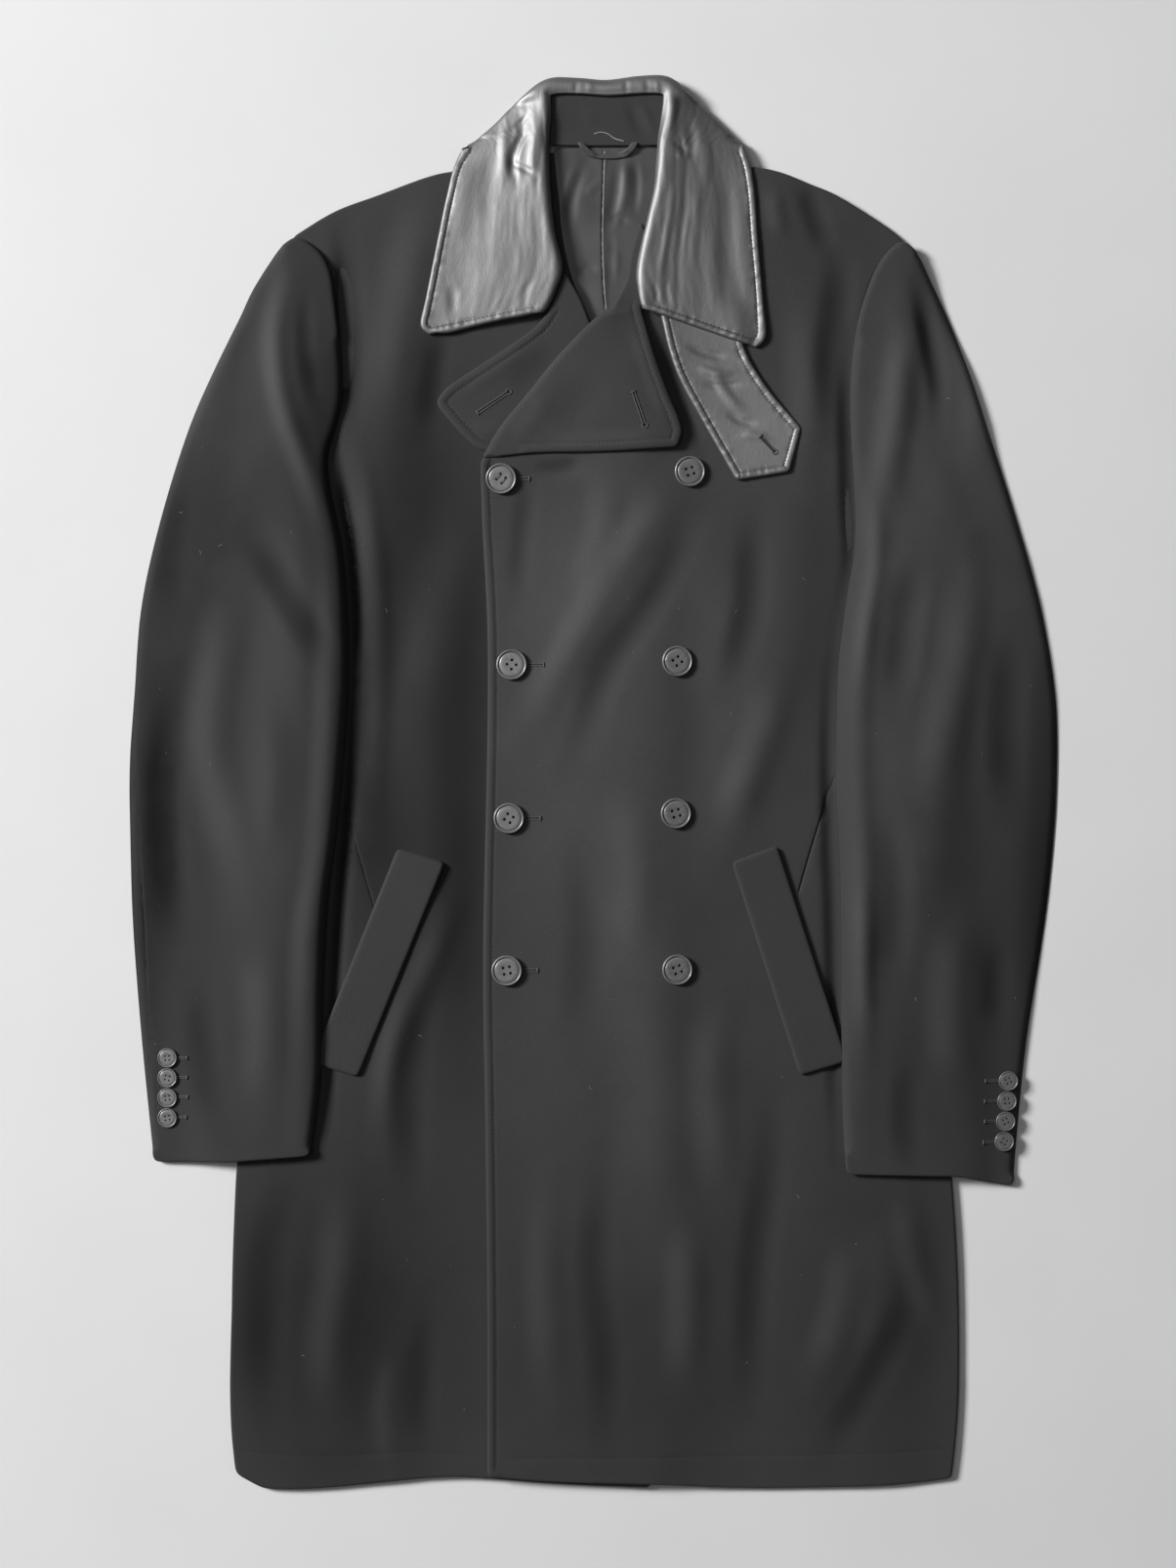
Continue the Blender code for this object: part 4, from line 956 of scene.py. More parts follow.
latchLook = {
    "name": "latch_leather", "material": "leather", "slot": "leather", "wall": 2.2, "blur": 4.0,
    "step": 1.1, "rows": [0.3, 0.75, 1.4, 2.2, 3.1, 4.0, 4.6, 5.1, 5.7, 6.6], "cell": 1.4,
    "round": 1.6, "drop": 1.5, "wave": 0.5,
    "cut": (0.107, 0.147), "area": 0.0076, "restsOn": ["front_left_cloth"],
    "topstitch": {
        "along": [
            (48, 336.5), (52, 317), (59, 296), (69.5, 273.5), (81.5, 254),
            (91.5, 236), (102.5, 217.5), (120.5, 220.5), (140.5, 223.5),
            (149.5, 255.5), (139.5, 266.5), (125.5, 283.5), (116, 299), (108, 313.5),
        ],
        "inset": 5.0, "groove": 0.6, "dip": 0.55, "swell": 0.55, "pitch": 2.6, "pucker": 0.6,
    },
    "creases": [
        ((65, 315.5), (80, 308.5), (98.5, 306), 5, -1.0),
        ((73, 299), (89, 293.5), (101, 296), 5, 0.9),
        ((76, 287.5), (91.5, 285), (108, 287.5), 4, -0.8),
        ((84.5, 301.5), (94, 280.5), (109.5, 265.5), 6, 0.8),
        ((94, 268), (107, 259.5), (119.5, 258.5), 5, -0.8),
        ((104, 248.5), (115, 250), (127.5, 245.5), 5, 0.7),
    ],
}
weltRightLook = {
    "name": "welt_right_cloth", "material": "twillBody", "slot": "twill", "wall": 2.0, "blur": 5.0,
    "step": 1.6, "rows": [0.4, 0.9, 1.6, 2.6], "cell": 3.0, "round": 2.4, "drop": 2.4, "wave": 0.25,
    "lift": 0.4,
    "cut": (0.0365, 0.166), "area": 0.0059, "restsOn": ["front_right_cloth"],
}
weltLeftLook = dict(weltRightLook, name="welt_left_cloth", lift=1.2, restsOn=["front_left_cloth"])
underRightLook = {
    "name": "sleeve_under_right_cloth", "material": "twillRightSleeve", "slot": "twill", "wall": 1.8,
    "step": 3.5, "rows": [1.0, 2.4], "cell": 7.0, "round": 1.4, "drop": 1.2, "wave": 0.1,
    "cut": (0.161, 0.667), "area": 0.0815, "restsOn": ["front_right_cloth", "floor"],
}
underLeftLook = dict(
    underRightLook, name="sleeve_under_left_cloth", material="twillLeftSleeve",
    restsOn=["front_left_cloth", "floor"],
)
sleeveRightLook = {
    **topSleeve, "name": "sleeve_top_right_cloth", "material": "twillRightSleeve",
    "edges": [
        {"along": [(-316, -271.5), (-257, -271), (-206, -269.5)], "round": 1.7, "drop": 1.5},
        {
            "along": [
                (-217.5, 392), (-201, 382), (-194, 373),
                (-189.5, 359), (-187, 345), (-186, 327.5),
            ],
            "round": 4.0, "drop": 2.6,
        },
    ],
    "cut": (0.163, 0.667), "area": 0.083, "restsOn": ["sleeve_under_right_cloth"],
    "lines": [
        {
            **dartLine, "depth": 0.7, "ledge": 0.35,
            "points": [(-331.5, 47.5), (-328, -12), (-322.5, -96.5), (-319, -180), (-317, -270)],
        },
    ],
    # painted shade along the sleeve's edges and middle, painted light on one patch near its head
    "paintedLightAndShade": [
        ((-184, 198), 22, 150, 4, -0.45), ((-194, -40), 20, 190, 0, -0.34),
        ((-250, 289), 26, 70, -24, 0.16), ((-261, 72), 80, 330, 0, -0.19),
        ((-275, 170), 26, 110, -10, -0.14), ((-320, -68), 14, 170, 0, -0.24),
    ],
    "creases": [
        ((-225.5, 233), (-216.5, 114), (-223.5, 2), (-237.5, -138), 50, 3.6),
        (
            (-204, 243.5), (-194, 191), (-188.5, 142), (-188.5, 72), (-194, -33), (-204, -110),
            (-207, -194), (-211, -257), 15, 3.6,
        ),
        ((-323, 170), (-341, 58), (-338.5, -68), (-327, -194), 26, -1.6),
        (
            (-223, 387), (-221.5, 366), (-227, 338), (-229, 310), (-224.5, 275), (-212, 240),
            (-194, 191), (-186, 166.5), 13, 3.6,
        ),
        ((-205, 359), (-207, 324), (-202.5, 289), (-194, 264.5), 9, -2.0),
        ((-244.5, 180.5), (-222, 142), (-201, 107), (-187, 79), 17, -3.4),
        ((-257, 149), (-270, 86), (-275, 30), (-261, -40), (-250, -89), 24, 3.4),
        ((-296, 79), (-307.5, 16), (-306, -54), (-298, -131), 20, -3.2),
        ((-222, 72), (-215, 2), (-225.5, -68), 18, -1.8),
        ((-242, -110), (-236, -173), (-242, -243), 22, 2.2),
        ((-282, -138), (-277, -201), (-268, -257), 17, -2.0),
        ((-257, 352), (-275, 296), (-282, 233), 24, 2.0),
        ((-292, 226), (-303, 170), (-306, 114), 18, -1.6),
    ],
}
sleeveLeftLook = {
    **topSleeve, "name": "sleeve_top_left_cloth", "material": "twillLeftSleeve",
    "edges": [
        {
            "along": [(178, -272.5), (184.5, -280), (211, -285), (259.5, -287), (301.5, -290)],
            "round": 1.7, "drop": 1.5,
        },
        {
            "along": [(225, 386.5), (212.5, 381), (203.5, 369), (195.5, 354), (188.5, 331)],
            "round": 4.0, "drop": 2.6,
        },
    ],
    "cut": (0.162, 0.679), "area": 0.0837, "restsOn": ["sleeve_under_left_cloth"],
    # painted light near the sleeve's head, painted shade along its edges and lower middle
    "paintedLightAndShade": [
        ((243, 254), 30, 100, 16, 0.28), ((282, 114), 22, 100, 6, 0.12), ((198, 30), 18, 170, 0, -0.26),
        ((317, -68), 18, 170, 0, -0.24), ((246.5, -124), 70, 150, 0, -0.16),
    ],
    "creases": [
        ((222, 282), (220, 170), (213, 58), (213, -68), (215, -208), 46, 3.6),
        (
            (200, 268), (202, 207), (203.5, 156), (189.5, 79), (188.5, 0), (191, -77), (191, -145),
            (191, -264), 14, 2.4,
        ),
        ((317, 142), (334, 58), (331, -68), (317, -194), 26, -1.6),
        ((232, 360.5), (239, 327.5), (246.5, 291), (248, 261), 10, -3.4),
        ((225.5, 352), (222, 303), (212, 240), (203.5, 180.5), 18, 3.4),
        ((264, 331), (275, 282), (278, 226), 20, 2.0),
        ((194, 226), (200, 170), (193, 114), (191, 58), 12, 2.3),
        ((232.5, 170), (222, 114), (215, 51), 18, -2.9),
        ((268, 170), (264, 100), (250, 30), (246.5, -40), 24, 3.1),
        ((303, 114), (296, 44), (299, -26), 18, -2.5),
        ((208, -12), (215, -82), (208, -152), 18, -2.3),
        ((191, -54), (192, -124), (193.5, -194), 12, 1.8),
        ((261, -89), (253.5, -159), (257, -229), 22, 2.3),
        ((289, -110), (287.5, -180), 15, -1.8),
        ((225.5, -194), (224.5, -243), (229, -281.5), 16, -1.6),
    ],
}


bodySheets = {
    "back": backLook, "lining_back": liningLook, "front_right": frontRightLook,
    "lapel_right": lapelRightLook, "front_left": frontLeftLook, "lapel_left": lapelLeftLook,
}
smallSheets = {
    "neck_band": bandLook, "hanger_loop": loopLook, "throat_latch": latchLook,
    "pocket_welt_right": weltRightLook, "pocket_welt_left": weltLeftLook,
}
sleeveSheets = {
    "sleeve_under_right": underRightLook, "sleeve_under_left": underLeftLook,
    "sleeve_top_right": sleeveRightLook, "sleeve_top_left": sleeveLeftLook,
}


def makeSheets(sheets, done):
    for node, look in sheets.items():
        makeSheet(node, look)
    print(done + " made")


# Collar. The rows of "sections" run from the end of the leaf on the wearer's right round the neck to
# the other end: roll x y z, strip, lean, fold x y, outer edge x y, as in the part's source.

collarLook = {
    "name": "collar_leather", "material": "leather", "slot": "leather", "wall": 2.0, "roll": 4.0,
    "columns": 74, "smoothing": 60, "edgeZ": 7.0,
    "backFrom": 487.0,  # above this y the collar is the strip round the back of the neck
    "turnGap": 14.0,  # how far the outer edge lies from the fold where it is fully turned under
    "clear": 0.35,  # how far it stays above the cloth under it
    "edgeReach": 14.0,  # how far from its free edges the topstitching shapes it
    "cut": (0.46, 0.095), "area": 0.0405,
    "restsOn": ["front_left_cloth", "front_right_cloth", "back_cloth"],
    "edgeRows": [0.0, 0.3, 0.75, 1.4, 2.2, 3.1, 4.0, 4.6, 5.1, 5.7, 6.6, 7.8], "step": 1.3,
    "topstitch": {"inset": 5.0, "groove": 0.6, "dip": 0.6, "swell": 0.6, "pitch": 3.0, "pucker": 0.75},
    "round": 1.7, "drop": 1.6, "wave": 0.5, "crinkle": 0.22,
    "sections": [
        (-36, 337.5, 12.0, 0.6, 60, -116.5, 322, -116.5, 322),
        (-33, 341.5, 12.5, 0.8, 65, -123, 329, -123, 329),
        (-27.5, 353.5, 13.5, 1.5, 70, -119.5, 346.5, -119.5, 346.5),
        (-23, 370.5, 14.5, 2.5, 80, -115, 369, -115, 369),
        (-29, 395.5, 15.5, 4.0, 85, -110, 394, -110, 394),
        (-32, 423.5, 16.0, 5.0, 85, -104.5, 420.5, -104.5, 420.5),
        (-33, 450, 15.5, 5.0, 80, -97.5, 446.5, -97.5, 446.5),
        (-34, 464, 14.5, 5.0, 70, -85, 460.5, -88, 454.5),
        (-33, 476.5, 13.5, 5.0, 60, -71, 473, -77.5, 446),
        (-33, 490, 13.0, 4.5, 45, -53.5, 490, -57.5, 442.5),
        (-30, 495, 12.5, 4.0, 30, -34, 504.5, -35, 439.5),
        (-12, 495.5, 12.0, 4.0, 20, -12, 505.5, -11, 438),
        (10, 494, 12.0, 4.0, 20, 10, 504, 10, 437.5),
        (34, 495.5, 12.0, 4.0, 20, 34.5, 507, 33, 438),
        (49.5, 495.5, 12.5, 4.0, 30, 55, 506, 56.5, 439.5),
        (52.5, 490, 13.5, 4.5, 45, 73, 490, 80, 442.5),
        (51, 475.5, 14.5, 5.0, 60, 88.5, 475.5, 94, 446),
        (48.5, 462.5, 15.5, 5.0, 70, 100, 464, 104, 454.5),
        (47, 448.5, 16.5, 5.0, 80, 109, 452, 109, 452),
        (44.5, 425.5, 17.0, 5.0, 85, 114.5, 427.5, 114.5, 427.5),
        (37.5, 397, 17.5, 4.0, 85, 117, 394, 117, 394),
        (32, 368, 17.0, 2.5, 80, 120, 361, 120, 361),
        (33, 352, 16.0, 1.5, 70, 121.5, 335.5, 121.5, 335.5),
        (34.5, 343.5, 15.0, 0.8, 65, 121.5, 320.5, 121.5, 320.5),
        (35.5, 339.5, 14.5, 0.6, 60, 115, 313, 115, 313),
    ],
    "creases": [
        ((-61, 450), (-56.5, 443), (-47, 439), (-40, 432), 4, -1.0),
        ((-47, 479.5), (-51.5, 474), (-58.5, 469.5), 3, -0.8),
        ((-104.5, 359), (-100.5, 348.5), (-102, 334.5), 6, -0.8),
        ((-44, 362.5), (-48.5, 352), (-50, 339.5), 4, -0.5),
        ((56.5, 460), (62, 455), (69, 453), 3, -0.8),
        ((57.5, 450), (63.5, 448), (70.5, 449.5), 3, 0.6),
        ((42.5, 359), (45, 352), (44.5, 341.5), 3, -0.5),
        ((53, 362.5), (51.5, 352), (55, 339.5), 4, -0.5),
        ((-53.5, 479.5), (-50, 467.5), (-55.5, 455.5), (-58.5, 441.5), (-53.5, 427.5), 5, -1.7),
        ((-62, 479.5), (-64, 460.5), (-64, 443), (-66, 425.5), 6, 0.9),
        ((-44, 489.5), (-41, 471), (-43, 450), (-45, 422), 6, 1.2),
        ((-72, 457), (-75, 429), (-76.5, 394), 9, -0.7),
        ((-88, 450), (-93.5, 415), (-99, 380), 11, 0.6),
        ((-41.5, 415), (-39, 387), (-41.5, 352), 8, -0.6),
        ((-89, 387), (-93.5, 352), (-97.5, 327.5), 12, -0.5),
        ((-68, 415), (-67, 380), (-72, 345), 12, 0.5),
        ((55.5, 497.5), (56.5, 478), (53.5, 457), 5, 0.9),
        ((61, 464), (64, 455.5), (65, 444.5), 3, -0.8),
        ((67.5, 478), (70.5, 460.5), (68, 439.5), 6, -0.7),
        ((75, 471), (80, 450), (79, 422), 7, 0.6),
        ((66, 443), (65, 408), (60.5, 373), (62, 341.5), 4, -0.6),
        ((74, 436), (73, 401), (69, 359), 5, 0.45),
        ((57.5, 436), (54, 401), (48, 366), (49.5, 345), 4, 0.5),
        ((89, 457), (94, 422), (95.5, 380), (101, 338), 10, -0.6),
        ((84.5, 408), (84.5, 373), (87, 331), 9, 0.5),
        ((104.5, 422), (107.5, 380), (112.5, 338), 8, 0.5),
        ((-12, 503.5), (-13, 493.5), 3, -0.5),
        ((-3, 503.5), (-2, 493.5), 4, 0.4),
        ((23, 504.5), (23.5, 493.5), 3, -0.45),
        ((37.5, 504.5), (39.5, 493.5), 4, -0.5),
        ((45, 503.5), (46.5, 490.5), 3, 0.5),
    ],
}


def collarSamples(look):
    # the section table made smooth and dense, then sampled closely, and closest at both ends
    table = [np.array(row, float) for row in look["sections"]]
    padded = [table[0]] + table + [table[-1]]
    dense = []
    for a, b, c, d in zip(padded, padded[1:], padded[2:], padded[3:]):
        dense += [between(a, b, c, d, t) for t in np.linspace(0.0, 1.0, 40, endpoint=False)]
    dense = np.array(dense + [table[-1]])
    for _ in range(look["smoothing"]):
        dense[1:-1] = (dense[:-2] + 2 * dense[1:-1] + dense[2:]) / 4
    middle = (dense[:, 0:2] + dense[:, 5:7]) / 2
    along = (lengthAlong(dense[:, 0:2]) + lengthAlong(middle) + lengthAlong(dense[:, 5:7])) / 3
    ends = look["edgeRows"]
    inner = np.arange(ends[-1] + look["step"], along[-1] - ends[-1] - 0.5 * look["step"], look["step"])
    places = np.concatenate([ends, inner, along[-1] - np.array(ends[::-1])])
    return np.stack([np.interp(places, along, dense[:, item]) for item in range(9)], 1), places


def collarLine(look, row):
    # one section of the collar's outer side, from its outer edge over the fold to its sewn edge; the
    # last value of a point tells how far it may be lifted by what lies below
    roll, rollZ, strip, lean = row[0:2], row[2], row[3], math.radians(90 - row[4])
    fold, outer = row[5:7], row[7:9]
    away = (fold - roll) / np.linalg.norm(fold - roll)
    centre = roll + away * look["roll"]
    high = softStep((row[1] - look["backFrom"]) / 6.0)
    edgeZ = look["edgeZ"] + (rollZ - look["edgeZ"]) * high
    bend = fold - away * (edgeZ - 1.0) / 2
    gap = np.linalg.norm(outer - fold)
    turned = float(softStep(gap / look["turnGap"]))
    top = edgeZ + 1.0
    radius = (top - 0.05) / 2
    straight = (edgeZ - 1.0) / 2 + 1.0
    size = straight + (math.pi * radius - straight) * turned
    turn = max(1e-3, math.pi * turned)
    line = []
    for share in np.linspace(0.0, 1.0, 15):
        angle = turn * share
        out, fall = size / turn * math.sin(angle), size / turn * (1 - math.cos(angle))
        line.append((*(bend + away * out), max(0.05, top - fall), 1 - turned * share))
    end = np.array(line[-1][:2])
    goal = end + (outer - end) * turned
    sink = math.sin(turn) * np.linalg.norm(goal - end)
    for share in np.linspace(0.0, 1.0, 24)[1:]:
        if turned > 0.01:
            spot = end + (goal - end) * share
            line.append((*spot, max(0.05, line[14][2] - sink * share), 1 - turned))
    line.reverse()
    for share in np.linspace(1.0, 0.0, 40)[1:]:
        line.append((*(centre + (bend - centre) * share), rollZ + (edgeZ - rollZ) * share + 1.0, 1.0))
    reach = look["roll"] + 1.0
    for angle in np.linspace(math.pi / 2, lean, 14)[1:]:
        spot = centre - away * reach * math.cos(angle)
        line.append((*spot, rollZ + 1.0 - reach * (1 - math.sin(angle)), 1.0))
    start, level = np.array(line[-1][:2]), line[-1][2]
    for share in (0.5, 1.0):
        spot = start - away * strip * math.sin(lean) * share
        line.append((*spot, level - strip * math.cos(lean) * share, 1.0))
    line = np.array(line)
    along = lengthAlong(line[:, :3])
    ends = look["edgeRows"]
    rest = np.linspace(ends[-1], along[-1], look["columns"] - len(ends) + 1)[1:]
    places = np.concatenate([ends, rest])
    return np.stack([np.interp(places, along, line[:, item]) for item in range(4)], 1)


def heightBelow(points, nodes):
    # the highest skin under each point, or -1 where nothing lies
    level = np.full(len(points), -1.0)
    for node in nodes:
        for index, (x, y) in enumerate(points):
            hit = skins[node].ray_cast((x, y, sky), down)[0]
            if hit and hit.z > level[index]:
                level[index] = hit.z
    return level


def gridNormals(grid):
    # at each point of the collar's grid, the direction straight off the leather
    across = np.gradient(grid, axis=0)
    along = np.gradient(grid, axis=1)
    normal = np.cross(along, across)
    return normal / np.maximum(np.linalg.norm(normal, axis=2), 1e-9)[..., None]


def makeCollar():
    look = collarLook
    table, places = collarSamples(look)
    grid = np.array([collarLine(look, row) for row in table])
    shape = grid.shape[:2]
    free = grid[..., 3]
    grid = grid[..., :3].copy()
    plan = grid[..., :2].reshape(-1, 2)
    grid[..., 2] += collarLift(grid, free)
    grid[..., 2] = blurGrid(grid[..., 2], 1.2)
    normal = gridNormals(grid)
    edges = (collarEdge(grid, free, False), collarEdge(grid, free, True))
    height = (creaseHeight(look["creases"], plan) + ripple(plan, 34.0, look["wave"], 2.2)).reshape(shape)
    height = (height + collarCrinkle(shape, places)) * free
    trim = collarTrim(edges, plan).reshape(shape) * free
    top = grid + normal * (height + trim)[..., None]
    low = grid + normal * (height - look["wall"])[..., None]
    low[..., 2] = np.maximum(low[..., 2], leastLow)
    faces, upper = collarFaces(shape)
    points = np.vstack([top.reshape(-1, 3), low.reshape(-1, 3)])
    piece = addPiece(look["name"], points, faces, look["material"])
    skins["collar"] = skinTree(top.reshape(-1, 3), faces[:upper:2])
    borders["collar"] = edges
    dress("collar")
    print("collar made")


def collarLift(grid, free):
    # how far the collar is raised where cloth lies under it
    below = heightBelow(grid[..., :2].reshape(-1, 2), skins).reshape(grid.shape[:2])
    least = below + collarLook["wall"] + collarLook["clear"]
    lift = np.clip(least - grid[..., 2], 0.0, None) * (free > 0.99)
    for _ in range(3):
        for axis in (0, 1):
            lift = np.maximum(lift, np.maximum(np.roll(lift, 1, axis), np.roll(lift, -1, axis)))
    return blurGrid(lift, 3.2) * free


def collarCrinkle(shape, places):
    # fine wrinkles down the leather, weaker near the outer edge
    width = np.arange(shape[1]) * collarLook["step"]
    crinkle = np.zeros(shape)
    for row in range(shape[0]):
        for column in range(shape[1]):
            spot = Vector((width[column] / 3.4, places[row] / 17.0, 5.0))
            wide = Vector((width[column] / 8.0, places[row] / 30.0, 9.0))
            crinkle[row, column] = noise.noise(spot) + 0.9 * noise.noise(wide)
    strength = 0.35 + 0.65 * softStep((width - 0.35 * width[-1]) / (0.35 * width[-1]))
    return collarLook["crinkle"] * crinkle * strength[None, :]


def collarTrim(edges, plan):
    # the turned-down edge of both leaves, with the swell and the groove of its topstitching
    trim = np.zeros(len(plan))
    for curve, fade in edges:
        distance, place, _ = nearestOn(curve, plan)
        weight = np.interp(place, lengthAlong(curve), fade) * (distance < collarLook["edgeReach"])
        turn = np.clip(1 - distance / collarLook["round"], 0.0, 1.0)
        drop = collarLook["drop"] * (1 - np.sqrt(1 - turn ** 2))
        trim += weight * (stitchShape(collarLook["topstitch"], distance, place) - drop)
    return trim


def collarFaces(shape):
    # the outer and the inner side by turns, then the rim; also how many faces come before the rim
    faces = []
    count = shape[0] * shape[1]
    for row in range(shape[0] - 1):
        for column in range(shape[1] - 1):
            corner = row * shape[1] + column
            face = (corner, corner + 1, corner + shape[1] + 1, corner + shape[1])
            faces.append(face)
            faces.append(tuple(index + count for index in reversed(face)))
    upper = len(faces)
    ring = [(0, column) for column in range(shape[1])]
    ring += [(row, shape[1] - 1) for row in range(1, shape[0])]
    ring += [(shape[0] - 1, column) for column in range(shape[1] - 2, -1, -1)]
    ring += [(row, 0) for row in range(shape[0] - 2, 0, -1)]
    ring = [row * shape[1] + column for row, column in ring]
    for here, after in zip(ring, ring[1:] + ring[:1]):
        faces.append((here, after, after + count, here + count))
    return faces, upper


def collarEdge(grid, free, last):
    # the free edge of one leaf, from its roll down the end and up the outer side, and how much of it
    # shows as an edge: less and less where the collar turns under
    rows = range(len(grid) - 1, -1, -1) if last else range(len(grid))
    end = grid[-1 if last else 0]
    line = [tuple(point[:2]) for point in end[::-1]][3:]
    fade = [1.0] * len(line)
    for row in list(rows)[1:]:
        if free[row, 0] < 0.35 or len(line) > 400:
            break
        line.append(tuple(grid[row, 0, :2]))
        fade.append(float(softStep((free[row, 0] - 0.35) / 0.6)))
    steps = np.arange(len(line))
    fade = np.array(fade) * softStep(steps / 5.0)
    return np.array(line), fade


# Buttons

buttonLook = {
    "segments": 64, "holeSegments": 20, "front": 11.0, "cuff": 7.0, "holeReach": 0.21, "holeRadius": 0.095,
    "profile": [
        (0.0, 0.0), (0.80, 0.0), (0.93, 0.04), (0.985, 0.10), (1.0, 0.16), (0.995, 0.21), (0.975, 0.25),
        (0.94, 0.272), (0.90, 0.268), (0.868, 0.245), (0.85, 0.21), (0.84, 0.185), (0.815, 0.178),
        (0.795, 0.19), (0.77, 0.212), (0.73, 0.222), (0.5, 0.212), (0.25, 0.2), (0.0, 0.196),
    ],
}
holeCorners = ((1, 1), (1, -1), (-1, -1), (-1, 1))


def turnedShape(size):
    # the button's profile turned about its axis, closed at both ends
    shape = bmesh.new()
    segments = buttonLook["segments"]
    rings = []
    for r, z in buttonLook["profile"]:
        ring = []
        for step in range(segments if r > 0.0 else 1):
            angle = 2 * math.pi * step / segments
            ring.append(shape.verts.new((r * size * math.cos(angle), r * size * math.sin(angle), z * size)))
        rings.append(ring)
    for low, high in zip(rings, rings[1:]):
        for step in range(segments):
            after = (step + 1) % segments
            if len(low) == 1:
                shape.faces.new((low[0], high[after], high[step]))
            elif len(high) == 1:
                shape.faces.new((low[step], low[after], high[0]))
            else:
                shape.faces.new((low[step], low[after], high[after], high[step]))
    return shape


def holeCutters(size):
    shape = bmesh.new()
    reach, radius = buttonLook["holeReach"] * size, buttonLook["holeRadius"] * size
    for x, y in holeCorners:
        made = bmesh.ops.create_cone(
            shape, cap_ends=True, segments=buttonLook["holeSegments"], radius1=radius, radius2=radius,
            depth=0.6 * size,
        )
        bmesh.ops.translate(shape, verts=made["verts"], vec=(x * reach, y * reach, 0.1 * size))
    return shape


def shapeObject(name, shape):
    mesh = bpy.data.meshes.new(name)
    shape.to_mesh(mesh)
    shape.free()
    return addObject(name, mesh)


def makeButtonMesh(name, radius):
    body = shapeObject(name + "_blank", turnedShape(radius * mm))
    cutter = shapeObject(name + "_cut", holeCutters(radius * mm))
    change = body.modifiers.new("holes", "BOOLEAN")
    change.operation = "DIFFERENCE"
    change.solver = "EXACT"
    change.object = cutter
    bpy.context.view_layer.update()
    ready = bpy.data.meshes.new_from_object(body.evaluated_get(bpy.context.evaluated_depsgraph_get()))
    ready.name = name
    bpy.data.objects.remove(body)
    bpy.data.objects.remove(cutter)
    ready.materials.clear()
    ready.materials.append(materials["horn"])
    ready.shade_smooth()
    ready.set_sharp_from_angle(angle=math.radians(38))
    return ready


def buttonPlace(node):
    # centre of the base and the axis of a CAD button, read from its own faces
    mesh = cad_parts[node].data
    axis = Vector((0.0, 0.0, 0.0))
    for face in mesh.polygons:
        if face.normal.z > 0.9:
            axis += face.normal * face.area
    axis.normalize()
    points = [vertex.co for vertex in mesh.vertices]
    low = min(point.dot(axis) for point in points)
    middle = Vector([(min(values) + max(values)) / 2 for values in zip(*points)])
    return middle + axis * (low - middle.dot(axis)), axis


def tube(points, radii, segments=8):
    # rings round a line in mm, closed at both ends; returns its points and faces
    points = [Vector(point) for point in points]
    ready, faces = [], []
    for index, point in enumerate(points):
        ahead = points[min(index + 1, len(points) - 1)] - points[max(index - 1, 0)]
        ahead.normalize()
        side = ahead.cross(Vector((0.0, 0.0, 1.0)))
        if side.length < 0.05:
            side = ahead.cross(Vector((0.0, 1.0, 0.0)))
        side.normalize()
        rise = side.cross(ahead)
        for step in range(segments):
            angle = 2 * math.pi * step / segments
            spot = point + (side * math.cos(angle) + rise * math.sin(angle)) * radii[index]
            ready.append(tuple(spot))
    for index in range(len(points) - 1):
        for step in range(segments):
            after = (step + 1) % segments
            start = index * segments
            over = start + segments
            faces.append((start + step, start + after, over + after, over + step))
    faces.append(tuple(range(segments))[::-1])
    faces.append(tuple(range((len(points) - 1) * segments, len(points) * segments)))
    return ready, faces


def addTubes(name, tubes, material):
    points, faces = [], []
    for spots, sides in tubes:
        shift = len(points)
        points += spots
        faces += [tuple(index + shift for index in face) for face in sides]
    return addPiece(name, np.array(points), faces, material)


def makeButtons():
    turns = random.Random(5)
    for kind, radius in (("front", buttonLook["front"]), ("cuff", buttonLook["cuff"])):
        mesh = makeButtonMesh(kind + "_button", radius)
        start = "cuff_button" if kind == "cuff" else "button"
        for node in sorted(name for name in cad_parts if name.startswith(start)):
            base, axis = buttonPlace(node)
            piece = addObject(node + "_horn", mesh)
            turn = axis.to_track_quat("Z", "Y").to_matrix().to_4x4()
            spin = turns.uniform(-0.6, 0.6)
            piece.matrix_world = Matrix.Translation(base) @ turn @ Matrix.Rotation(spin, 4, "Z")
            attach(piece, "root")
            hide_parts(node)
            # near-black plugs low in the four holes: painted shade where the holes run down to the cloth
            shadePlugs = []
            reach, size = buttonLook["holeReach"] * radius, 0.97 * buttonLook["holeRadius"] * radius
            for x, y in holeCorners:
                line = [Vector((x * reach, y * reach, level * radius)) for level in (0.01, 0.03, 0.05)]
                shadePlugs.append(tube([piece.matrix_world @ (spot * mm) / mm for spot in line], [size] * 3, 12))
            addTubes(node + "_hole_shade", shadePlugs, "holeShade")
            if node == "button_right_top":
                addButtonThread(node, piece, radius)
    print("buttons made")


def addButtonThread(node, piece, radius):
    # two short bars of thread between the holes, with their ends down in them
    tubes = []
    reach = buttonLook["holeReach"] * radius
    level = 0.2 * radius
    for side in (-1, 1):
        for shift in (-0.35, 0.05, 0.4):
            line = []
            for t in np.linspace(-1.0, 1.0, 9):
                rise = 0.30 * (1 - t ** 4) - 0.95 * max(0.0, abs(t) - 0.8) * 5 + 0.12 * abs(shift)
                local = Vector((side * reach + shift * 0.75, t * (reach + 0.35), level + rise))
                line.append(piece.matrix_world @ (local * mm) / mm)
            tubes.append(tube(line, [0.24] * 9, 6))
    addTubes(node + "_thread", tubes, "blackThread")


# Stitches and buttonholes

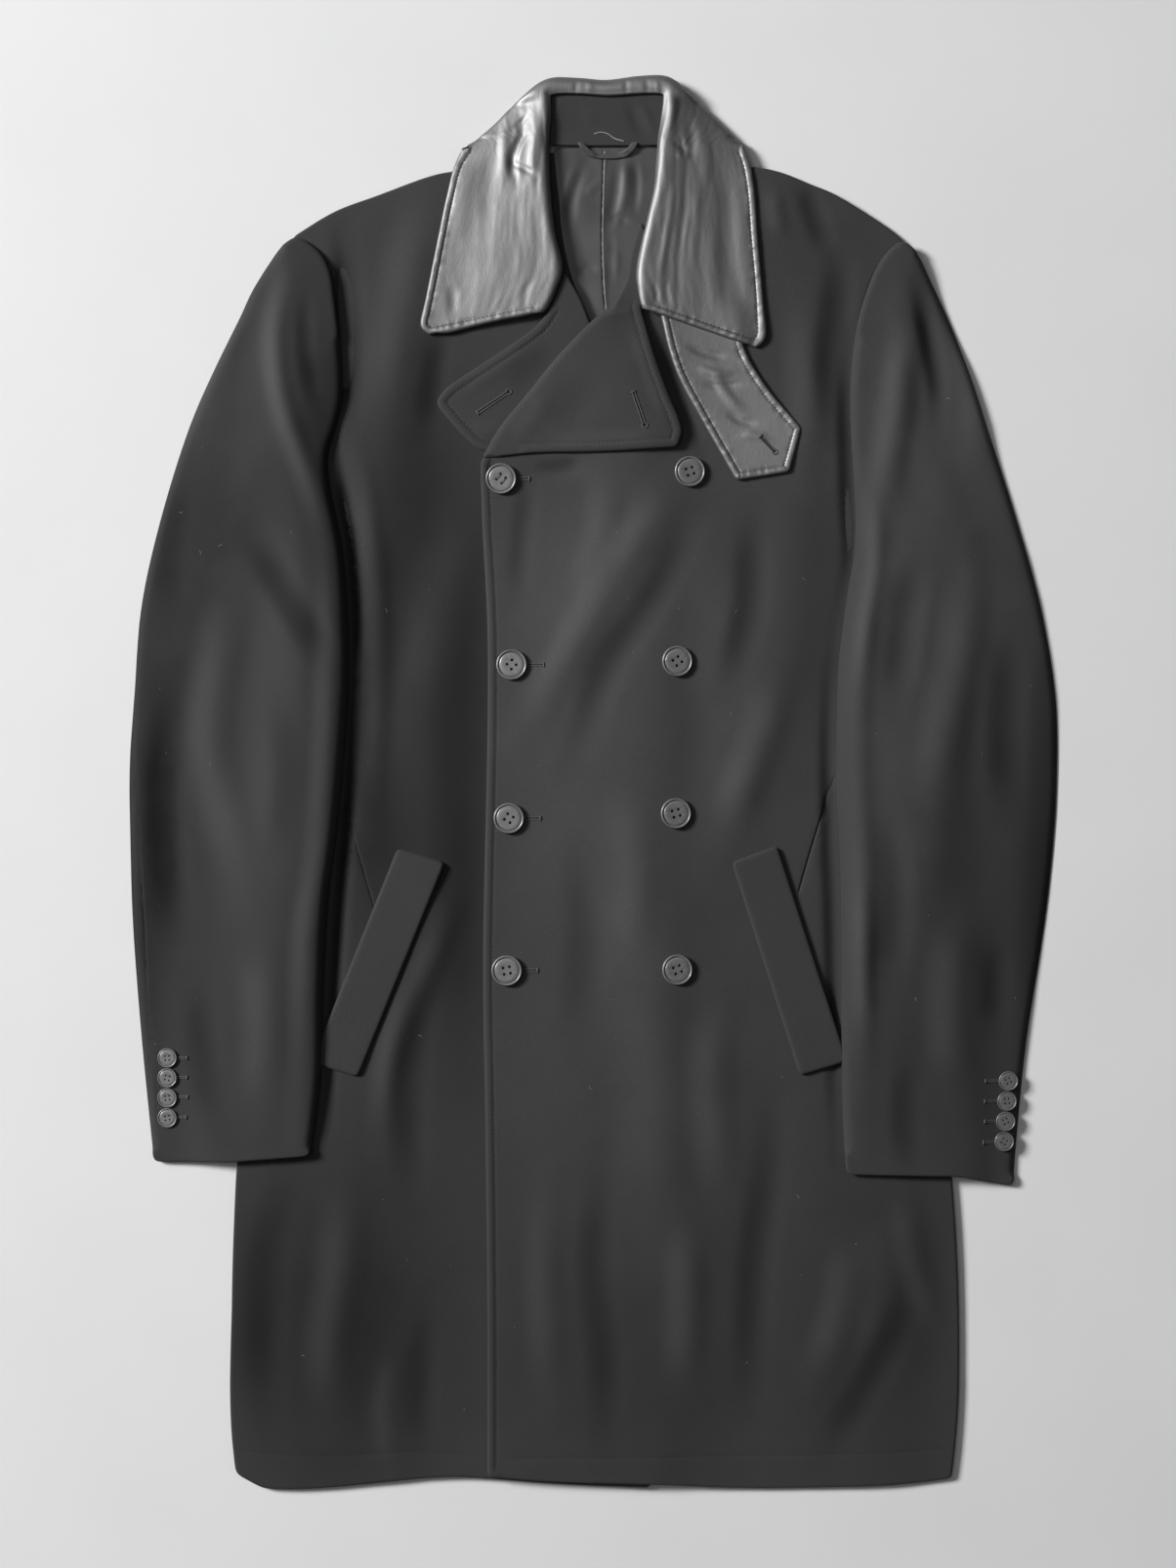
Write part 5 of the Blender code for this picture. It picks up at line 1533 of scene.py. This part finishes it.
stitchRows = {  # the look whose topstitching is sewn, and how long each stitch is
    "front_left": (frontLeftLook, 2.0), "lapel_right": (lapelRightLook, 1.9),
    "lapel_left": (lapelLeftLook, 1.9), "throat_latch": (latchLook, 1.8),
}
clothThread = 0.27  # how thick the topstitching's thread is on the cloth and the latch
collarStitch = {"length": 2.1, "thick": 0.28}
rollStitch = {  # the row along the roll at the back of the neck
    "points": [(-27.5, 491.5), (-11.5, 494), (13, 493.5), (35.5, 495), (49.5, 492)],
    "pitch": 2.1, "length": 1.5, "thick": 0.22,
}
holeLook = {"thread": 0.46, "twist": 0.13, "twistPitch": 0.85, "step": 0.28}
holeRows = [  # piece, its two ends (the second has the eyelet), half width, eyelet radius
    ("lapel_right", (-83, 266), (-60, 281.5), 0.95, 1.9),
    ("lapel_left", (28.5, 280), (37, 255.5), 0.95, 1.9),
    ("throat_latch", (119.5, 249), (130.5, 237.5), 0.9, 1.7),
    ("front_left", (-46, 218.5), (-66, 218.5), 0.85, 1.6),
    ("front_left", (-35.5, 85.5), (-56.5, 85.5), 0.85, 1.6),
    ("front_left", (-38, -24.5), (-59, -24.5), 0.85, 1.6),
    ("front_left", (-40, -133.5), (-60.5, -133.5), 0.85, 1.6),
    ("sleeve_top_right", (-291.5, -196.5), (-305, -196.5), 0.6, 0.9),
    ("sleeve_top_right", (-291.5, -210.5), (-305, -210.5), 0.6, 0.9),
    ("sleeve_top_right", (-291, -224.5), (-304, -224.5), 0.6, 0.9),
    ("sleeve_top_right", (-292, -239), (-305, -239), 0.6, 0.9),
    ("sleeve_top_left", (281, -213), (296, -213), 0.6, 0.9),
    ("sleeve_top_left", (280.5, -227.5), (295, -227.5), 0.6, 0.9),
    ("sleeve_top_left", (280.5, -242), (295, -242), 0.6, 0.9),
    ("sleeve_top_left", (279.5, -257), (293.5, -257), 0.6, 0.9),
]


def onSkin(node, x, y, rise=0.0):
    # the spot on a sheet's upper skin at x and y, raised a little
    tree = skins[node]
    hit = tree.ray_cast((x, y, sky), down)[0]
    if hit is None:
        hit = tree.find_nearest((x, y, 8.0))[0]
    return Vector((hit.x, hit.y, hit.z + rise))


def stitchLine(node, line, pitch, size, thick):
    # one short thread after another along a line, each dipping into the cloth at both ends
    tubes = []
    along = lengthAlong(line)
    for place in np.arange(0.5 * pitch, along[-1] - 0.5 * pitch, pitch):
        spots, radii = [], []
        for t in np.linspace(-1.0, 1.0, 6):
            where = place + 0.5 * size * t
            x, y = (float(np.interp(where, along, line[:, axis])) for axis in (0, 1))
            spots.append(onSkin(node, x, y, 0.10 - 0.45 * t ** 4))
            radii.append(thick * (1 - 0.45 * t ** 4))
        tubes.append(tube(spots, radii, 6))
    return tubes


def insetLine(border, mask, inset):
    # the longest stretch of the inset border where the mask is on
    ring = border + inward(border) * inset
    on = (mask > 0.75) & (nearestOn(border, ring, closed=True)[0] > 0.96 * inset)
    start = int(np.argmin(on))
    on = np.roll(on, -start)
    ring = np.roll(ring, -start, 0)
    runs, run = [], []
    for index, keep in enumerate(on):
        if keep:
            run.append(ring[index])
        elif len(run) > 0:
            gap = next((step for step in range(index, min(index + 12, len(on))) if on[step]), None)
            if gap is None:
                runs.append(run)
                run = []
    runs.append(run)
    return evenSteps(np.array(max(runs, key=len)), 0.8)


def makeStitches():
    for node, (look, size) in stitchRows.items():
        stitch = look["topstitch"]
        border = borders[node]
        line = insetLine(border, stitchMask(stitch["along"], border), stitch["inset"])
        tubes = stitchLine(node, line, stitch["pitch"], size, clothThread)
        addTubes(node + "_stitches", tubes, "blackThread")
    stitch = collarLook["topstitch"]
    tubes = []
    for side, (curve, fade) in zip((1, -1), borders["collar"]):
        curve = curve[fade > 0.5]
        ahead = np.gradient(curve, axis=0)
        normal = np.stack([ahead[:, 1], -ahead[:, 0]], 1) * side
        normal /= np.linalg.norm(normal, axis=1)[:, None]
        line = curve + normal * stitch["inset"]
        line = line[nearestOn(curve, line)[0] > 0.94 * stitch["inset"]]
        line = evenSteps(line, 0.8)
        tubes += stitchLine("collar", line, stitch["pitch"], collarStitch["length"], collarStitch["thick"])
    roll = smoothCurve(rollStitch["points"], 0.8)
    tubes += stitchLine("collar", roll, rollStitch["pitch"], rollStitch["length"], rollStitch["thick"])
    addTubes("collar_stitches", tubes, "blackThread")
    print("stitches made")


def holeOutline(size, half, eye):
    # up one side of a buttonhole, round its eyelet and back down the other side
    outline = [(share * (size - eye), half) for share in np.linspace(0.0, 1.0, 30)]
    for angle in np.linspace(2.3, -2.3, 22):
        outline.append((size - eye * 0.4 + eye * math.cos(angle) * 1.05, eye * math.sin(angle)))
    outline += [(share * (size - eye), -half) for share in np.linspace(1.0, 0.0, 30)]
    return evenSteps(np.array(outline), holeLook["step"])


def makeHoles():
    for number, (node, start, end, half, eye) in enumerate(holeRows):
        start, end = Vector(start), Vector(end)
        ahead = (end - start).normalized()
        side = Vector((-ahead.y, ahead.x))
        size = (end - start).length
        spots, radii = [], []
        for index, (forward, across) in enumerate(holeOutline(size, half, eye)):
            spot = start + ahead * float(forward) + side * float(across)
            spots.append(onSkin(node, spot.x, spot.y, 0.12))
            twist = index * holeLook["step"] * 2 * math.pi / holeLook["twistPitch"]
            radii.append(holeLook["thread"] + holeLook["twist"] * math.cos(twist))
        bar = []
        for t in np.linspace(-1.0, 1.0, 9):
            spot = start + side * float(t * (half + 0.9))
            bar.append(onSkin(node, spot.x, spot.y, 0.35 - 0.3 * t ** 4))
        tubes = [tube(spots, radii), tube(bar, [0.5, 0.62, 0.66, 0.66, 0.66, 0.66, 0.66, 0.62, 0.5])]
        addTubes(node + "_hole_%d" % number, tubes, "holeThread")
        line = [start + ahead * (size * float(share)) for share in np.linspace(0.03, 0.97, 16)]
        wide = [half * 0.75] * 12 + [half * 0.9, eye * 0.75, eye * 0.8, eye * 0.5]
        addSlitShade(node, number, line, wide)
    print("buttonholes made")


def addSlitShade(node, number, line, wide):
    # painted shade in the opening of a buttonhole: a near-black tube whose upper side is pressed flat
    holeShade = [onSkin(node, spot.x, spot.y, -0.12) for spot in line]
    spots, faces = tube(holeShade, wide)
    sides = len(spots) // len(holeShade)
    flat = [(x, y, min(z, holeShade[index // sides].z + 0.16)) for index, (x, y, z) in enumerate(spots)]
    addTubes(node + "_slit_%d" % number, [(flat, faces)], "holeShade")


# Loose bits: a stray thread on the neck band, and lint

strayLook = {
    "points": [(0.5, 466), (5, 467), (10, 466), (15.5, 462.5), (22, 460.5)], "step": 0.6, "thick": 0.24,
}
lintLook = {
    "count": 70, "sizes": [0.4, 0.5, 0.7, 1.0, 1.8], "thick": [0.04, 0.07, 0.08, 0.08, 0.07, 0.04],
    "areas": [  # the piece, and from where to where in x and y
        ("front_left", (-70, 250), (-490, 200)), ("front_right", (-250, -80), (-490, 300)),
        ("front_left", (-60, 180), (-100, 240)), ("sleeve_top_right", (-320, -200), (-240, 250)),
        ("sleeve_top_left", (200, 320), (-260, 300)), ("front_left", (-60, 230), (-480, -50)),
    ],
}


def makeBits():
    line = []
    for index, (x, y) in enumerate(smoothCurve(strayLook["points"], strayLook["step"])):
        line.append(onSkin("neck_band", x, y, 0.25 + 0.5 * abs(math.sin(index * 0.12))))
    addTubes("stray_thread", [tube(line, [strayLook["thick"]] * len(line), 6)], "paleThread")
    tubes = []
    for _ in range(lintLook["count"]):
        node, (lowX, highX), (lowY, highY) = rng.choice(lintLook["areas"])
        x, y, turn = rng.uniform(lowX, highX), rng.uniform(lowY, highY), rng.uniform(0, 6.28)
        if skins[node].ray_cast((x, y, sky), down)[0] is None:
            continue
        size = rng.choice(lintLook["sizes"])
        spots = []
        for t in np.linspace(-1.0, 1.0, len(lintLook["thick"])):
            bend = turn + 0.5 * t
            spots.append(onSkin(node, x + size * t * math.cos(bend), y + size * t * math.sin(bend), 0.12))
        tubes.append(tube(spots, lintLook["thick"], 5))
    addTubes("lint", tubes, "paleThread")
    print("loose bits made")


# Stage, light and camera

stageLook = {
    "floor": 12.0, "floorLevel": -0.0004, "floorColour": (0.43, 0.43, 0.435),
    "lens": 65.0, "sensor": 36.0, "viewHeight": 1.124, "aimX": -0.0039, "aimY": 0.0, "aimZ": 0.008,
    "world": 0.04,
}
lamps = {  # where each lamp stands, where it points, its size and its power in watts
    "windowLight": ((-4.6, 1.9, 3.2), (0.0, 0.0, 0.0), (1.5, 1.5), 850.0),
    "ceilingLight": ((-0.75, 0.5, 2.5), (-0.75, 0.5, 0.0), (1.7, 2.1), 20.0),
    "softFill": ((2.2, -0.9, 2.2), (0.0, 0.0, 0.0), (1.5, 1.5), 5.0),
}


def makeStage():
    tree, shader = newMaterial("paleFloor")
    slow = cloud(tree, 9.0, 4.0)
    low = tuple(0.97 * value for value in stageLook["floorColour"])
    paint(tree, shader, spread(tree, slow, 0.3, 0.7), low, stageLook["floorColour"])
    shader.inputs["Roughness"].default_value = 0.9
    size = stageLook["floor"]
    mesh = bpy.data.meshes.new("floor")
    corners = ((-size, -size), (size, -size), (size, size), (-size, size))
    mesh.from_pydata([(x, y, stageLook["floorLevel"]) for x, y in corners], [], [(0, 1, 2, 3)])
    mesh.materials.append(materials["paleFloor"])
    addObject("floor", mesh)


def makeLamps():
    world = bpy.data.worlds.new("studio")
    world.use_nodes = True
    world.node_tree.nodes["Background"].inputs["Color"].default_value = (1.0, 1.0, 1.0, 1.0)
    world.node_tree.nodes["Background"].inputs["Strength"].default_value = stageLook["world"]
    bpy.context.scene.world = world
    for name, (place, aim, size, power) in lamps.items():
        data = bpy.data.lights.new(name, "AREA")
        data.shape = "RECTANGLE"
        data.size, data.size_y = size
        data.energy = power
        lamp = addObject(name, data)
        lamp.location = place
        lamp.rotation_euler = (Vector(aim) - Vector(place)).to_track_quat("-Z", "Y").to_euler()


def makeCamera():
    data = bpy.data.cameras.new("camera")
    data.lens = stageLook["lens"]
    data.sensor_width = stageLook["sensor"]
    data.sensor_fit = "AUTO"
    camera = addObject("camera", data)
    away = stageLook["viewHeight"] / 2 * stageLook["lens"] / (stageLook["sensor"] / 2)
    camera.location = (stageLook["aimX"], stageLook["aimY"], stageLook["aimZ"] + away)
    data.clip_end = 20.0
    bpy.context.scene.camera = camera
    bpy.context.scene.view_settings.view_transform = "Standard"


makeStage()
makeSheets(bodySheets, "body")
makeSheets(smallSheets, "neck, latch and pockets")
makeCollar()
makeSheets(sleeveSheets, "sleeves")
makeButtons()
makeStitches()
makeHoles()
makeBits()
makeLamps()
makeCamera()
